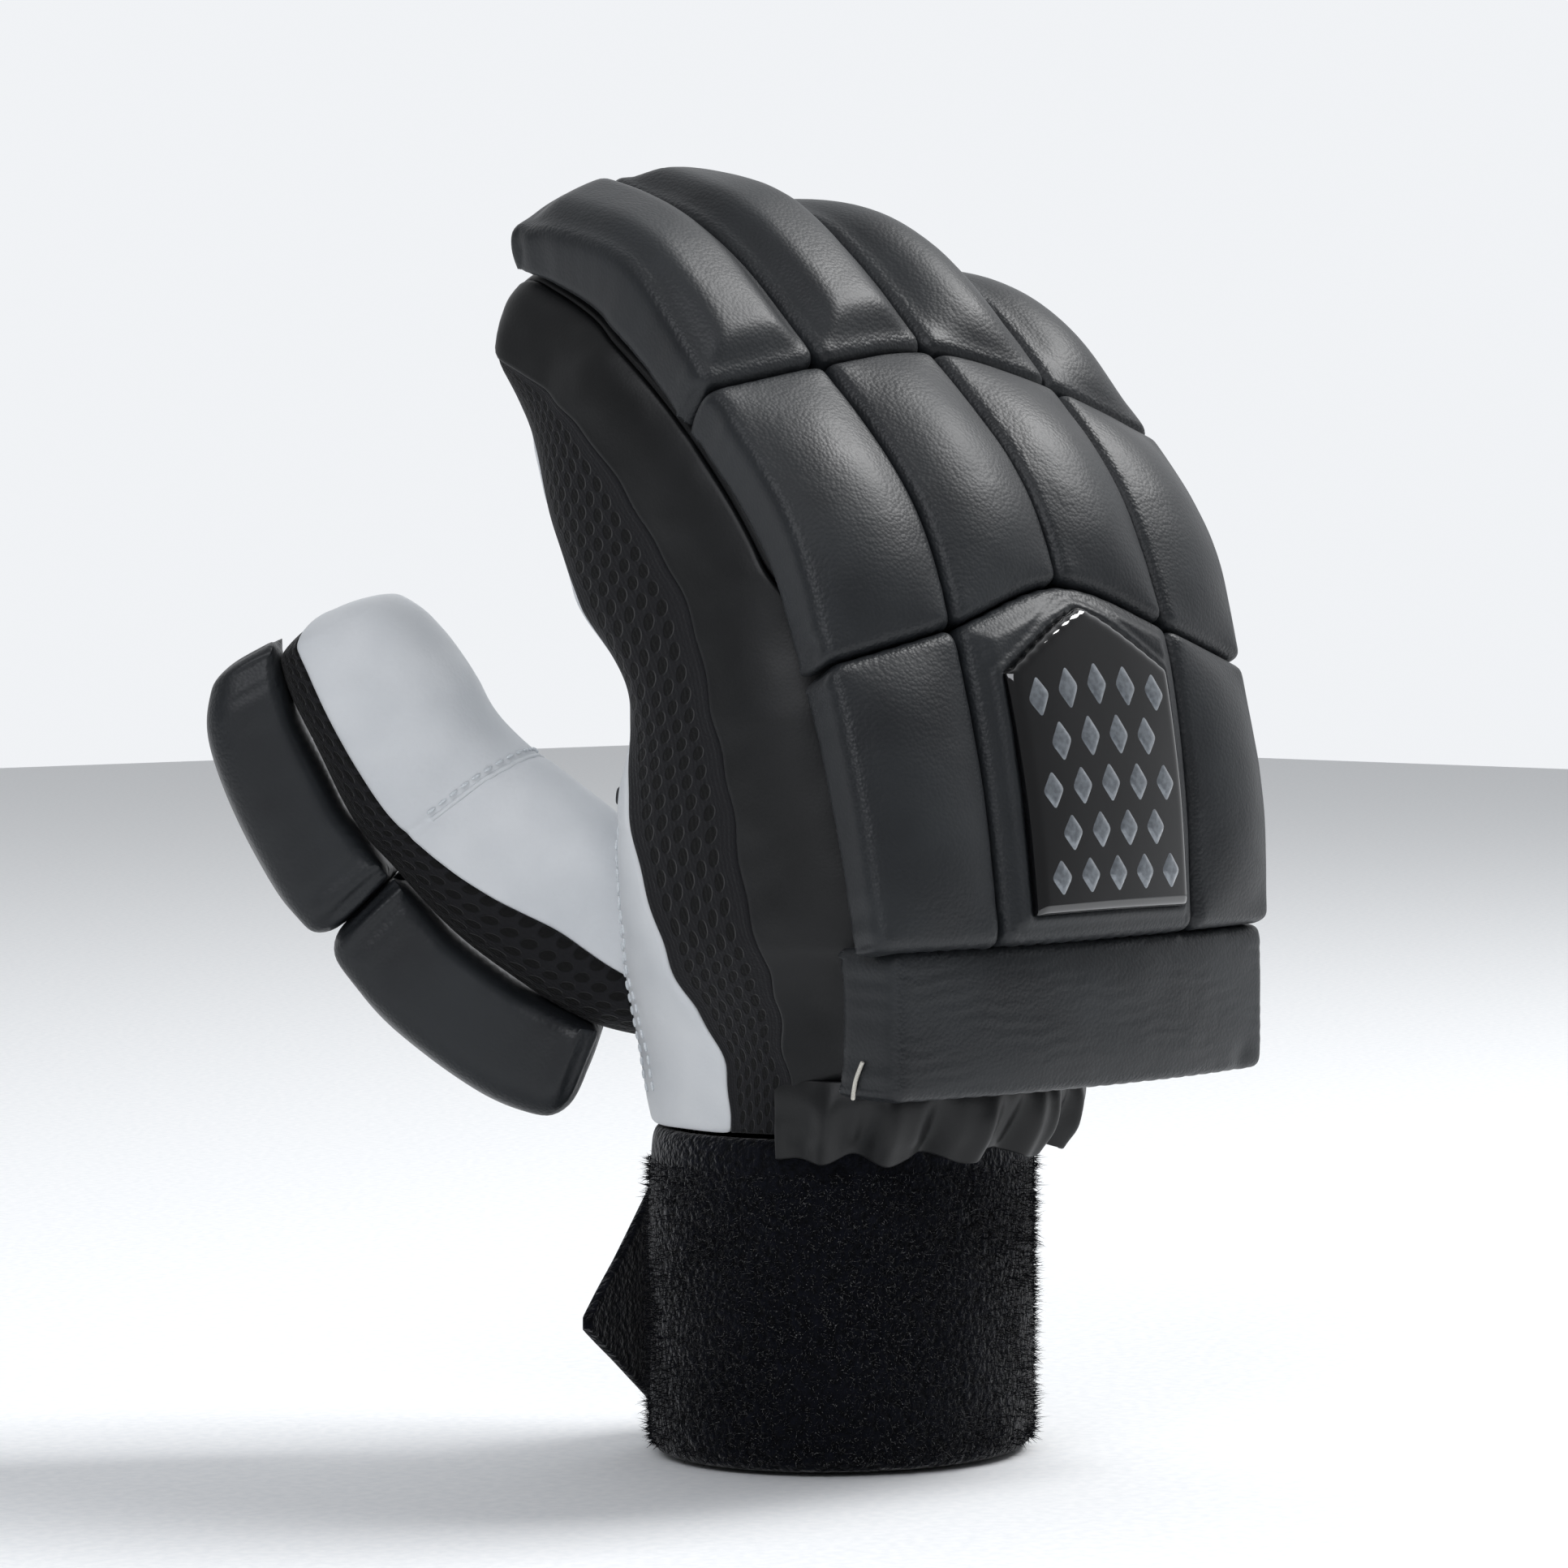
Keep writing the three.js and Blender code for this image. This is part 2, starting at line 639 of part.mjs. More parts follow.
padStyles.forEach(({ row, suffix, crown, plateau }) => {
  fingerNames.forEach((name, finger) => {
    const badgeColumn = row === 0 && (finger === 1 || finger === 2);
    if (badgeColumn) {
      return;
    }
    const x0 = (finger - fingerCount / 2) * fingerPitch;
    const pad = handPad(x0, x0 + fingerPitch, row, row + 1, crown[finger], plateau[finger]);
    addPiece(`${name}_${suffix}`, toGeometry(pad), padLeather);
  });
});

// Badge panel over the middle and ring knuckles, and the plate seated in its pocket
function badgeSlab(grow, low, high, bevelDepth) {
  return padGeometry({
    place: (x, at, height) => overFace(x, at, high + height),
    x0: badgePlace.x0 - grow,
    x1: badgePlace.x1 + grow,
    at0: badgePlace.at0 - grow / rowLength,
    at1: badgePlace.at1 + grow / rowLength,
    rowLength,
    bevelWidth: padBevelWidth,
    bevelDepth,
    crown: 0,
    plateau: 0,
    depth: () => high - low,
  });
}

const pocketFloor = panelLift - badgePocketDepth;
const pocket = toSolid(badgeSlab(seatGap, pocketFloor, 3 * panelLift, 0));
const panel = handPad(-fingerPitch, fingerPitch, 0, 1, panelLift, panelPlateau).subtract(pocket);
addPiece("badge_panel", toGeometry(panel), padLeather);
const badge = badgeSlab(0, pocketFloor + seatGap, pocketFloor + seatGap + badgeThickness, badgeBevelDepth);
addPiece("badge", badge, glossPlate);

// Padded roll across the wrist
function rollPoint(x, at, height) {
  const bow = rollBow * (1 - ((2 * x) / gloveWidth) ** 2);
  const z = wristRollBottom + at * (wristRollTop - wristRollBottom);
  return new THREE.Vector3(x, -(rollEnd + bow + height), z);
}

const roll = padGeometry({
  place: rollPoint,
  ...rollPlace,
  at0: 0,
  at1: 1 - padGap / (wristRollTop - wristRollBottom),
  rowLength: wristRollTop - wristRollBottom,
  bevelWidth: padBevelWidth,
  bevelDepth: padBevelWidth,
  crown: wristRollCrown,
  plateau: 0,
  depth: () => wristRollDepth,
});
addPiece("wrist_roll", toGeometry(toSolid(roll).subtract(handGrown)), padLeather);

// Thumb pads, parted by one groove
function thumbPad(at0, at1) {
  const length = 0.075 * gloveHeight;
  const place = (across, at, height) => {
    const line = thumbPoint(0, 0, at).distanceTo(thumbPoint(0, 1, at));
    const width = across * readTable(thumbRows, (row) => row.width, at);
    return thumbPoint(width, -height / line, at);
  };
  const lineLength = (at) => thumbPoint(0, 0, at).distanceTo(thumbPoint(0, 1, at));
  return padGeometry({
    place,
    x0: -thumbHalfWidth,
    x1: thumbHalfWidth,
    at0,
    at1,
    rowLength: length,
    bevelWidth: thumbBevelShare * padBevelWidth,
    bevelDepth: thumbBevelShare * padBevelDepth,
    crown: thumbCrown,
    plateau: 0,
    depth: (at) => thumbPadShare * lineLength(at) - seatGap,
  });
}

const thumbGrooveHalf = padGap / 40;
const thumbPads = [
  { name: "thumb_tip_pad", from: 0, to: thumbGroove - thumbGrooveHalf },
  { name: "thumb_base_pad", from: thumbGroove + thumbGrooveHalf, to: thumbPadEnd },
];
thumbPads.forEach(({ name, from, to }) => {
  const pad = toSolid(thumbPad(from, to)).subtract(thumbGrown);
  addPiece(name, toGeometry(pad), padLeather);
});

// Cuff: an oval tube with rounded edges and a flat resting rim
function cuffGeometry() {
  const outer = cuffHalfWidth;
  const inner = cuffHalfWidth - cuffWall;
  const round = cuffEdgeRound / 2;
  const profile = [
    new THREE.Vector2(inner, round),
    new THREE.Vector2(inner + 0.5 * round, 0),
    new THREE.Vector2(outer - round, 0),
    new THREE.Vector2(outer - 0.3 * round, 0.5 * round),
    new THREE.Vector2(outer, cuffEdgeRound),
    new THREE.Vector2(outer, cuffHeight / 2),
    new THREE.Vector2(outer, cuffHeight - round),
    new THREE.Vector2(outer - round / 2, cuffHeight),
    new THREE.Vector2(inner, cuffHeight),
    new THREE.Vector2(inner, round),
  ];
  const tube = new THREE.LatheGeometry(profile, cuffSides);
  tube.rotateX(Math.PI / 2);
  tube.scale(1, cuffHalfDepth / cuffHalfWidth, 1);
  return orient(mergeVertices(stripped(tube), 1e-3));
}

function stripped(geometry) {
  geometry.deleteAttribute("normal");
  geometry.deleteAttribute("uv");
  return geometry;
}

addPiece("cuff", cuffGeometry(), towelling);

// A place outside the cuff: angle around it, distance off it and height
function aroundCuff(angle, off, z) {
  const x = (cuffHalfWidth + off) * Math.cos(angle);
  const y = (cuffHalfDepth + off) * Math.sin(angle);
  return new THREE.Vector3(x, y, z);
}

// Strap: sewn flat to the palm side of the cuff, its pointed end standing free
function strapGeometry() {
  const off = seatGap + strapThickness / 2;
  const path = [];
  for (let i = 0; i <= strapCurveSteps; i += 1) {
    path.push(aroundCuff(strapStart + ((strapLeave - strapStart) * i) / strapCurveSteps, off, 0));
  }
  const last = path.at(-1);
  const direction = new THREE.Vector3(
    -cuffHalfWidth * Math.sin(strapLeave),
    cuffHalfDepth * Math.cos(strapLeave),
    0,
  ).normalize();
  path.push(last.clone().addScaledVector(direction, strapFreeLength - strapPointLength));
  path.push(last.clone().addScaledVector(direction, strapFreeLength));
  const tipHeight = strapTipShare * strapWidth;
  const rings = path.map((p, i) => {
    const end = i === path.length - 1;
    const along = path[Math.min(i + 1, path.length - 1)].clone().sub(path[Math.max(i - 1, 0)]).normalize();
    const side = new THREE.Vector3(-along.y, along.x, 0).multiplyScalar(strapThickness / 2);
    const low = strapBottom + (end ? tipHeight - strapTipHalf : 0);
    const high = end ? strapBottom + tipHeight + strapTipHalf : strapBottom + strapWidth;
    return [[-1, low], [1, low], [1, high], [-1, high]].map(([sign, z]) => {
      const point = p.clone().addScaledVector(side, sign);
      point.z = z;
      return point;
    });
  });
  return loftRings(rings);
}

addPiece("cuff_strap", strapGeometry(), towelling);

// Skirt: a gathered band that bulges out under the wrist roll and folds in toward the cuff
function skirtGeometry() {
  const profile = [
    { z: 0.3, off: 8.2, ripple: 0 },
    { z: 0.28, off: 9.6, ripple: 0.5 },
    { z: 0.258, off: 8, ripple: 1 },
    { z: 0.238, off: 4.4, ripple: 1 },
  ];
  const steps = 3 * skirtFolds;
  const surface = (off) => profile.map((row) => {
    const points = [];
    for (let i = 0; i <= steps; i += 1) {
      const share = i / steps;
      const fold = Math.cos(2 * Math.PI * skirtFolds * share + 1.2 * Math.sin(7 * share));
      const fade = Math.min(1, 6 * share, 6 * (1 - share));
      const depth = row.off * (0.15 + 0.85 * fade) + skirtFoldDepth * row.ripple * fold * fade;
      points.push(aroundCuff(skirtStart + (skirtEnd - skirtStart) * share, depth + off, row.z * gloveHeight));
    }
    return points;
  });
  return slabBetween(surface(skirtWall), surface(0));
}

addPiece("wrist_skirt", toGeometry(toSolid(skirtGeometry()).subtract(handGrown)), stripLeather);

// The origin lies under the middle of the glove's outline, on the plane it stands on
const outline = new THREE.Box3().setFromObject(glove);
const centre = outline.getCenter(new THREE.Vector3());
glove.position.set(-centre.x, -centre.y, 0);
const group = new THREE.Group();
group.add(glove);

export default group;
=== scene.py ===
import math
import bmesh
import bpy
import numpy as np
from mathutils import Matrix, Vector, noise


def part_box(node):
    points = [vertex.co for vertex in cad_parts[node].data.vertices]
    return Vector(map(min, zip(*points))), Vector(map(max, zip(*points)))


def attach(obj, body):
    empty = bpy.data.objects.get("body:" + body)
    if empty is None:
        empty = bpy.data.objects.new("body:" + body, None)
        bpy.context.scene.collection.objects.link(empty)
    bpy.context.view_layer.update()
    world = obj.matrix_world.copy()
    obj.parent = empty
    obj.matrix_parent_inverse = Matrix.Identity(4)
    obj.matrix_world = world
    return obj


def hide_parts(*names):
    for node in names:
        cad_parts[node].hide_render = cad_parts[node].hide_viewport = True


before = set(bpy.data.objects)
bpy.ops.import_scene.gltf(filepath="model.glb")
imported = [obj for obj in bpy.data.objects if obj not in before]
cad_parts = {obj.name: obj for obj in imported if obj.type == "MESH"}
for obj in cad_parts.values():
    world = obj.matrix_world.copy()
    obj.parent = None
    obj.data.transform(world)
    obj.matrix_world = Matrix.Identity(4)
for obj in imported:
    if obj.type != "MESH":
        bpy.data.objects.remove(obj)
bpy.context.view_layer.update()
scene = bpy.context.scene
print("frame loaded,", len(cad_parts), "solids")

# sizes of the glove in mm, the same as in the solids
glove = {
    "height": 281.0, "width": 122.0, "reach": 78.0, "fingers": 4,
    "cuffHeight": 71.0, "cuffHalfWidth": 43.2, "cuffHalfDepth": 39.3,
    "wall": 1.8, "padDepth": 14.0, "seat": 0.3,
}
rowLength = 0.25 * glove["height"]
pitch = glove["width"] / glove["fingers"]
cuffLow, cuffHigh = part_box("cuff")
shift = np.array([(cuffLow[0] + cuffHigh[0]) * 500, (cuffLow[1] + cuffHigh[1]) * 500, 0.0])  # mm

# camera at the photograph's angle: the glove seen from its thumb side
camera = {"azimuth": -45.0, "elevation": 2.5, "distance": 1.3, "frameWidth": 0.339,
          "target": (0.0129, -0.0030, 0.144)}
turn, rise = math.radians(camera["azimuth"]), math.radians(camera["elevation"])
backWay = Vector((math.sin(turn) * math.cos(rise), -math.cos(turn) * math.cos(rise), math.sin(rise)))
eye = Vector(camera["target"]) + backWay * camera["distance"]
cameraData = bpy.data.cameras.new("camera")
cameraData.lens = cameraData.sensor_width * camera["distance"] / camera["frameWidth"]
cameraObject = bpy.data.objects.new("camera", cameraData)
cameraObject.location = eye
cameraObject.rotation_mode = "QUATERNION"
cameraObject.rotation_quaternion = (-backWay).to_track_quat("-Z", "Y")
scene.collection.objects.link(cameraObject)
scene.camera = cameraObject


# the face of the pads: five finger grooves, rows along the fingers (0 wrist end, 1 and 2 seams, 3 tips)
faceAt = np.array([0, 0.5, 1, 1.5, 2, 2.5, 3])
faceY = np.array([
    [-91, -99, -100, -97, -90], [-82.5, -92.5, -95, -94, -88], [-71, -81, -83, -86, -80],
    [-56, -64.5, -67, -70, -70], [-26.5, -31.5, -34, -44, -47], [6, 9.5, 7, -10.5, -16.5],
    [52, 54, 50, 32, 22]]) * glove["reach"] / 100
faceZ = np.array([
    [40.6, 40.7, 40.7, 40.7, 40.7], [51.6, 52.3, 53.3, 52.6, 50.9], [61.2, 64, 66.9, 63.7, 60.5],
    [71.7, 74, 75.8, 73.7, 69.8], [81.5, 83.6, 84.7, 81.9, 78.1], [91.1, 93.5, 94.5, 90, 84.6],
    [94.5, 98.2, 97.4, 92.6, 87.6]]) * glove["height"] / 100
faceDepth = np.array([0.75, 0.95, 0.95, 1.1, 1, 1.25, 0.8]) * glove["padDepth"]
palmY = np.array([38.5, 31.5, 20.5, 30, 40, 50.5, 61]) * glove["reach"] / 100
palmZ = np.array([40.6, 50, 58.7, 68, 74.2, 80.3, 86]) * glove["height"] / 100
palmFollow = np.array([0, 0.1, 0.3, 0.6, 0.8, 0.9, 1])
outlineAt = np.array([-1, -0.6, -0.25, 0, 0.4, 0.8, 1.1, 1.38])
outlineHalf = np.array([70.82, 80, 91, 96, 98.5, 99.5, 99.5, 99.5]) * glove["width"] / 200
outlineSquare = np.array([2, 2.3, 2.7, 3, 3.4, 3.6, 3.8, 4])
sideAt = np.array([-1, -0.5, 0, 0.5, 1, 1.5, 2, 2.5, 3])
stripSeam = np.array([0.25, 0.28, 0.33, 0.36, 0.4, 0.41, 0.47, 0.58, 0.86])
meshSeam = np.array([0.4, 0.48, 0.65, 0.76, 0.88, 0.94, 0.94, 0.94, 0.94])
thumbAt = np.arange(9.0)
thumbBack = np.array([[48, 61.3], [48.4, 57], [46.4, 51], [43.1, 44.6], [40, 40.8], [34.8, 34.8],
                      [27.5, 29.4], [21.1, 27.1], [13.5, 27]]) * glove["height"] / 100
thumbInner = np.array([[35.6, 68], [32.2, 66], [28.9, 62.2], [26.6, 58.2], [24.2, 55.8], [20.8, 53.2],
                       [17.4, 50.5], [13.5, 46.6], [8.5, 43]]) * glove["height"] / 100
thumbWide = np.array([0.8, 0.95, 1, 1, 1, 1.05, 1.1, 1.1, 1.1])
thumbLeather = np.array([0.47, 0.47, 0.46, 0.48, 0.49, 0.53, 0.58, 0.58, 0.58])
thumb = {"halfWidth": 17.0, "angle": math.radians(135), "padShare": 0.35, "drop": 4.0, "groove": 4.05,
         "end": 7.0, "square": 3.0, "tip": 0.45, "last": 7.5}


def readRows(places, values, at):  # a smooth value between the rows of a table
    at = np.clip(np.asarray(at, float), places[0] - 1, places[-1] + 1)
    last = len(places) - 1
    i = np.clip(np.searchsorted(places, at) - 1, 0, last - 1)
    low, high = np.maximum(np.arange(last + 1) - 1, 0), np.minimum(np.arange(last + 1) + 1, last)
    gaps = (places[high] - places[low]).reshape((-1,) + (1,) * (values.ndim - 1))
    slopes = (values[high] - values[low]) / gaps
    span = places[i + 1] - places[i]
    t = (at - places[i]) / span
    if values.ndim > 1:
        span, t = span[..., None], t[..., None]
    start, end, step = slopes[i] * span, slopes[i + 1] * span, values[i + 1] - values[i]
    return values[i] + t * (start + t * (3 * step - 2 * start - end + t * (start + end - 2 * step)))


def readAcross(lines, across):  # the same between the five grooves
    rows = np.arange(len(across))
    i = np.clip(np.ceil(across).astype(int) - 1, 0, 3)
    slopes = np.gradient(lines, axis=1)
    t = across - i
    start, end = slopes[rows, i], slopes[rows, i + 1]
    step = lines[rows, i + 1] - lines[rows, i]
    return lines[rows, i] + t * (start + t * (3 * step - 2 * start - end + t * (start + end - 2 * step)))


def facePoint(x, at):
    across = (x / glove["width"] + 0.5) * glove["fingers"]
    y = readAcross(readRows(faceAt, faceY, at), across)
    z = readAcross(readRows(faceAt, faceZ, at), across)
    return np.stack([x, y, z], axis=1)


def overFace(x, at, height):
    along = facePoint(x, at + 0.02) - facePoint(x, at - 0.02)
    across = facePoint(x + 1, at) - facePoint(x - 1, at)
    normal = np.cross(across, along)
    normal /= np.linalg.norm(normal, axis=1, keepdims=True)
    return facePoint(x, at) + normal * np.asarray(height)[:, None]


def backPoint(x, at):
    return overFace(x, at, -readRows(faceAt, faceDepth, at) - glove["seat"])


def palmPoint(x, at):
    moved = (facePoint(x, at) - facePoint(x * 0, at)) * readRows(faceAt, palmFollow, at)[:, None]
    y = readRows(faceAt, palmY, at) + moved[:, 1]
    z = readRows(faceAt, palmZ, at) + moved[:, 2]
    return np.stack([x, y, z], axis=1)


def handLine(x, at):  # the back and the palm end of the line through the hand at x
    up = np.maximum(at, 0)
    back, palm = backPoint(x, up), palmPoint(x, up)
    zero = np.zeros(1)
    backMiddle, palmMiddle = backPoint(zero, zero)[0], palmPoint(zero, zero)[0]
    top = glove["cuffHeight"] + glove["seat"]
    lowAt = np.array([-1, -0.6, -0.25, 0])
    lowBack = np.array([[-glove["cuffHalfDepth"], top], [-0.65 * glove["reach"], 0.32 * glove["height"]],
                        [-0.77 * glove["reach"], 0.37 * glove["height"]], backMiddle[1:]])
    lowPalm = np.array([[glove["cuffHalfDepth"], top], [0.48 * glove["reach"], 0.313 * glove["height"]],
                        [0.43 * glove["reach"], 0.363 * glove["height"]], palmMiddle[1:]])
    fade = np.clip(1 + at / 0.35, 0, 1)[:, None]
    below = (at < 0)[:, None]
    down = np.minimum(at, 0)
    for ends, table, middle in ((back, lowBack, backMiddle), (palm, lowPalm, palmMiddle)):
        low = readRows(lowAt, table, down) + (ends[:, 1:] - middle[1:]) * fade
        ends[:, 1:] = np.where(below, low, ends[:, 1:])
    return back, palm


def smoothStep(low, high, value):
    t = np.clip((value - low) / (high - low), 0, 1)
    return t * t * (3 - 2 * t)


tipRound = {"start": 2.93, "length": 0.09, "narrow": 0.25}
# how the hand's outline goes over into four fingers: squareness, the gap at the outer sides, and the rows
fingerForm = {"square": 3.6, "gap": 0.6, "outlineEnd": 1.38, "sideMix": (1.05, 1.45), "faceMix": (1.0, 1.5)}
faceCorner = {"part": 0.125, "middle": 0.75}  # of the width: the rounded corner and the flat middle


def handPoint(x, share, at):  # x across the hand, share from back (0) to palm (1); rounds over at the tips
    turnIn = np.clip((at - tipRound["start"]) / tipRound["length"], 0, 1) * math.pi / 2
    share = 0.5 + (share - 0.5) * np.cos(turnIn)
    at = np.minimum(at, tipRound["start"]) + tipRound["length"] * np.sin(turnIn)
    finger = np.clip(np.floor(x / pitch + 2), 0, 3)
    middle = (finger - 1.5) * pitch
    x = middle + (x - middle) * (1 - tipRound["narrow"] * (1 - np.cos(turnIn)))
    back, palm = handLine(x, at)
    return back + (palm - back) * share[:, None]


def sidePoint(side, share, at):  # on the outline of the hand, at a share from back to palm
    through = np.abs(2 * share - 1)
    square = readRows(outlineAt, outlineSquare, np.minimum(at, fingerForm["outlineEnd"]))
    half = readRows(outlineAt, outlineHalf, np.minimum(at, fingerForm["outlineEnd"]))
    hand = half * (1 - through ** square) ** (1 / square)
    bulge = (1 - through ** fingerForm["square"]) ** (1 / fingerForm["square"])
    finger = 1.5 * pitch + (pitch / 2 - fingerForm["gap"]) * bulge
    mix = smoothStep(*fingerForm["sideMix"], at)
    return handPoint(side * (hand * (1 - mix) + finger * mix), share, at)


def frontPoint(u, at, sign, low):  # the palm side (sign 1) or the back (-1), grooved between the fingers
    finger = np.minimum(np.floor(u * 4), 3)
    t = u * 4 - finger
    edge = 2 * low - 1 if sign > 0 else 1 - 2 * low
    lift = np.sign(edge) * np.arcsin(np.minimum(np.abs(edge), 1) ** (fingerForm["square"] / 2))
    first = np.where(finger == 0, math.pi - lift, math.pi)
    last = np.where(finger == 3, lift, 0)
    angle = first + (last - first) * t
    across = np.sign(np.cos(angle)) * np.abs(np.cos(angle)) ** (2 / fingerForm["square"])
    through = np.sign(np.sin(angle)) * np.abs(np.sin(angle)) ** (2 / fingerForm["square"])
    outerSide = (finger == 0) & (across < 0) | (finger == 3) & (across > 0)
    fingerX = (finger - 1.5) * pitch + across * (pitch / 2 - np.where(outerSide, fingerForm["gap"], 0))
    half = readRows(outlineAt, outlineHalf, np.minimum(at, fingerForm["outlineEnd"]))
    square = readRows(outlineAt, outlineSquare, np.minimum(at, fingerForm["outlineEnd"]))
    handLift = np.sign(edge) * np.arcsin(np.clip(np.abs(edge), 0, 1) ** (square / 2))
    part, flatMiddle = faceCorner["part"], faceCorner["middle"]
    corner = np.arccos(flatMiddle ** (square / 2))
    leftPart = np.clip(u / part, 0, 1)
    rightPart = np.clip((1 - u) / part, 0, 1)
    sideAngle = handLift + (corner - handLift) * np.where(u < 0.5, leftPart, rightPart)
    outer = (u < part) | (u > 1 - part)
    middleX = np.clip((u - 0.5) / (0.5 - part), -1, 1) * flatMiddle
    handAcross = np.where(outer, np.sign(u - 0.5) * np.abs(np.cos(sideAngle)) ** (2 / square), middleX)
    handThrough = np.where(outer, np.sign(np.sin(sideAngle)) * np.abs(np.sin(sideAngle)) ** (2 / square),
                           (1 - np.abs(middleX) ** square) ** (1 / square))
    mix = smoothStep(*fingerForm["faceMix"], at)
    x = handAcross * half * (1 - mix) + fingerX * mix
    share = 0.5 + sign * 0.5 * (handThrough * (1 - mix) + through * mix)
    return handPoint(x, share, at)


def thumbPoint(across, share, at):
    back, inner = readRows(thumbAt, thumbBack, at), readRows(thumbAt, thumbInner, at)
    place = back + (inner - back) * share[:, None]
    x = place[:, 0] * math.cos(thumb["angle"]) + across * math.sin(thumb["angle"])
    y = place[:, 0] * math.sin(thumb["angle"]) - across * math.cos(thumb["angle"])
    return np.stack([x, y, place[:, 1] - thumb["drop"]], axis=1)


def thumbShell(angle, at):  # a ring round the thumb stall: angle 90 degrees is its inner side
    tip, power = thumb["tip"], 2 / thumb["square"]
    turnIn = np.clip((tip - at) / tip, 0, 1) * math.pi / 2
    around = 1 - tip * (1 - np.cos(turnIn))
    at = np.where(at < tip, tip - tip * np.sin(turnIn), at)
    across = np.sign(np.cos(angle)) * np.abs(np.cos(angle)) ** power * around
    through = np.sign(np.sin(angle)) * np.abs(np.sin(angle)) ** power * np.cos(turnIn)
    share = thumb["padShare"] + (1 - thumb["padShare"]) * (0.5 + 0.5 * through)
    return thumbPoint(across * thumb["halfWidth"] * readRows(thumbAt, thumbWide, at), share, at)


def thumbSeamAngle(at):  # where the white leather meets the knitted gusset
    share = readRows(thumbAt, thumbLeather, at)
    edge = 2 * (share - thumb["padShare"]) / (1 - thumb["padShare"]) - 1
    return np.sign(edge) * np.arcsin(np.abs(edge) ** (thumb["square"] / 2))


def ripple(points, size, seed):  # soft unevenness, from -1 to 1
    offset = Vector((seed * 17.3, seed * 5.1, seed * 9.7))
    return np.array([noise.noise(Vector(p) / size + offset) for p in points])


# materials
def hexColor(text):  # sRGB hex to linear
    parts = [int(text[i:i + 2], 16) / 255 for i in (0, 2, 4)]
    return [c / 12.92 if c <= 0.04045 else ((c + 0.055) / 1.055) ** 2.4 for c in parts] + [1.0]


def addNode(tree, kind, settings=None, links=None):
    node = tree.nodes.new("ShaderNode" + kind)
    for key, value in (settings or {}).items():
        if key == "stops":
            for stop, (place, color) in zip(node.color_ramp.elements, value):
                stop.position, stop.color = place, hexColor(color)
        else:
            setattr(node, key, value)
    for socket, value in (links or {}).items():
        if isinstance(value, bpy.types.NodeSocket):
            tree.links.new(value, node.inputs[socket])
        else:
            node.inputs[socket].default_value = value
    return node


def startMaterial(name, sockets):
    material = bpy.data.materials.new(name)
    material.use_nodes = True
    tree = material.node_tree
    tree.nodes.clear()
    shader = addNode(tree, "BsdfPrincipled", links=sockets)
    addNode(tree, "OutputMaterial", links={"Surface": shader.outputs["BSDF"]})
    return material, tree, shader


# polyurethane-coated leather, rolled with a fine pebble: dull sheen, grain that opens up where it is bent
padLook = {"name": "coatedLeather", "dark": "191b1e", "light": "222528", "rough": (0.42, 0.5),
           "pebble": 0.8, "bendBump": 0.55, "flatBump": 0.10}
# the same leather left plain on the strips and linings, a little smoother; its colour is a little darker than
# the pads' as painted shade
shadedStripLook = {"name": "shadedPlainLeather", "dark": "090a0b", "light": "0e0f11", "rough": (0.42, 0.5),
             "pebble": 0.7, "bendBump": 0.14, "flatBump": 0.08}
# tawed white sheepskin: matt, faint grain and soft creases
whiteLook = {"name": "whiteSheepskin", "dark": "cdd0d3", "light": "dddfe1", "rough": (0.6, 0.7),
             "pebble": 1.0, "bendBump": 0.5, "flatBump": 0.22}


def leatherMaterial(look):
    material, tree, shader = startMaterial(look["name"], {"IOR": 1.5, "Specular IOR Level": 0.4})
    place = addNode(tree, "TexCoord").outputs["Object"]
    mottle = addNode(tree, "TexNoise", links={"Vector": place, "Scale": 45.0, "Detail": 2.0}).outputs["Fac"]
    tint = addNode(tree, "ValToRGB", {"stops": [(0.3, look["dark"]), (0.7, look["light"])]},
                   {"Fac": mottle})
    rough = addNode(tree, "MapRange", links={"Value": mottle, "From Min": 0.3, "From Max": 0.7,
                                             "To Min": look["rough"][0], "To Max": look["rough"][1]})
    bent = addNode(tree, "Attribute", {"attribute_name": "bend"}).outputs["Fac"]
    strength = addNode(tree, "MapRange", links={"Value": bent, "To Min": look["flatBump"],
                                                "To Max": look["bendBump"]})
    pebble = addNode(tree, "TexVoronoi", {"feature": "F1"},
                     {"Vector": place, "Scale": 1000 / look["pebble"]})
    crease = addNode(tree, "TexNoise", links={"Vector": place, "Scale": 170.0, "Detail": 2.0}).outputs["Fac"]
    height = addNode(tree, "Math", {"operation": "MULTIPLY_ADD"},
                     {0: pebble.outputs["Distance"], 1: -0.6, 2: crease})
    bump = addNode(tree, "Bump", links={"Height": height.outputs[0], "Strength": strength.outputs[0],
                                        "Distance": 0.0004})
    tree.links.new(tint.outputs["Color"], shader.inputs["Base Color"])
    tree.links.new(rough.outputs[0], shader.inputs["Roughness"])
    tree.links.new(bump.outputs["Normal"], shader.inputs["Normal"])
    return material


# knitted polyester mesh: dull yarn, staggered oval holes down the middle, fine ribs at the edges; the holes
# are painted black, as painted shade in the openings
meshLook = {"yarn": "141417", "shadedHole": "000000", "holeAcross": 3.3, "holeAlong": 4.4, "rib": 0.9,
            "waveScale": 0.314}


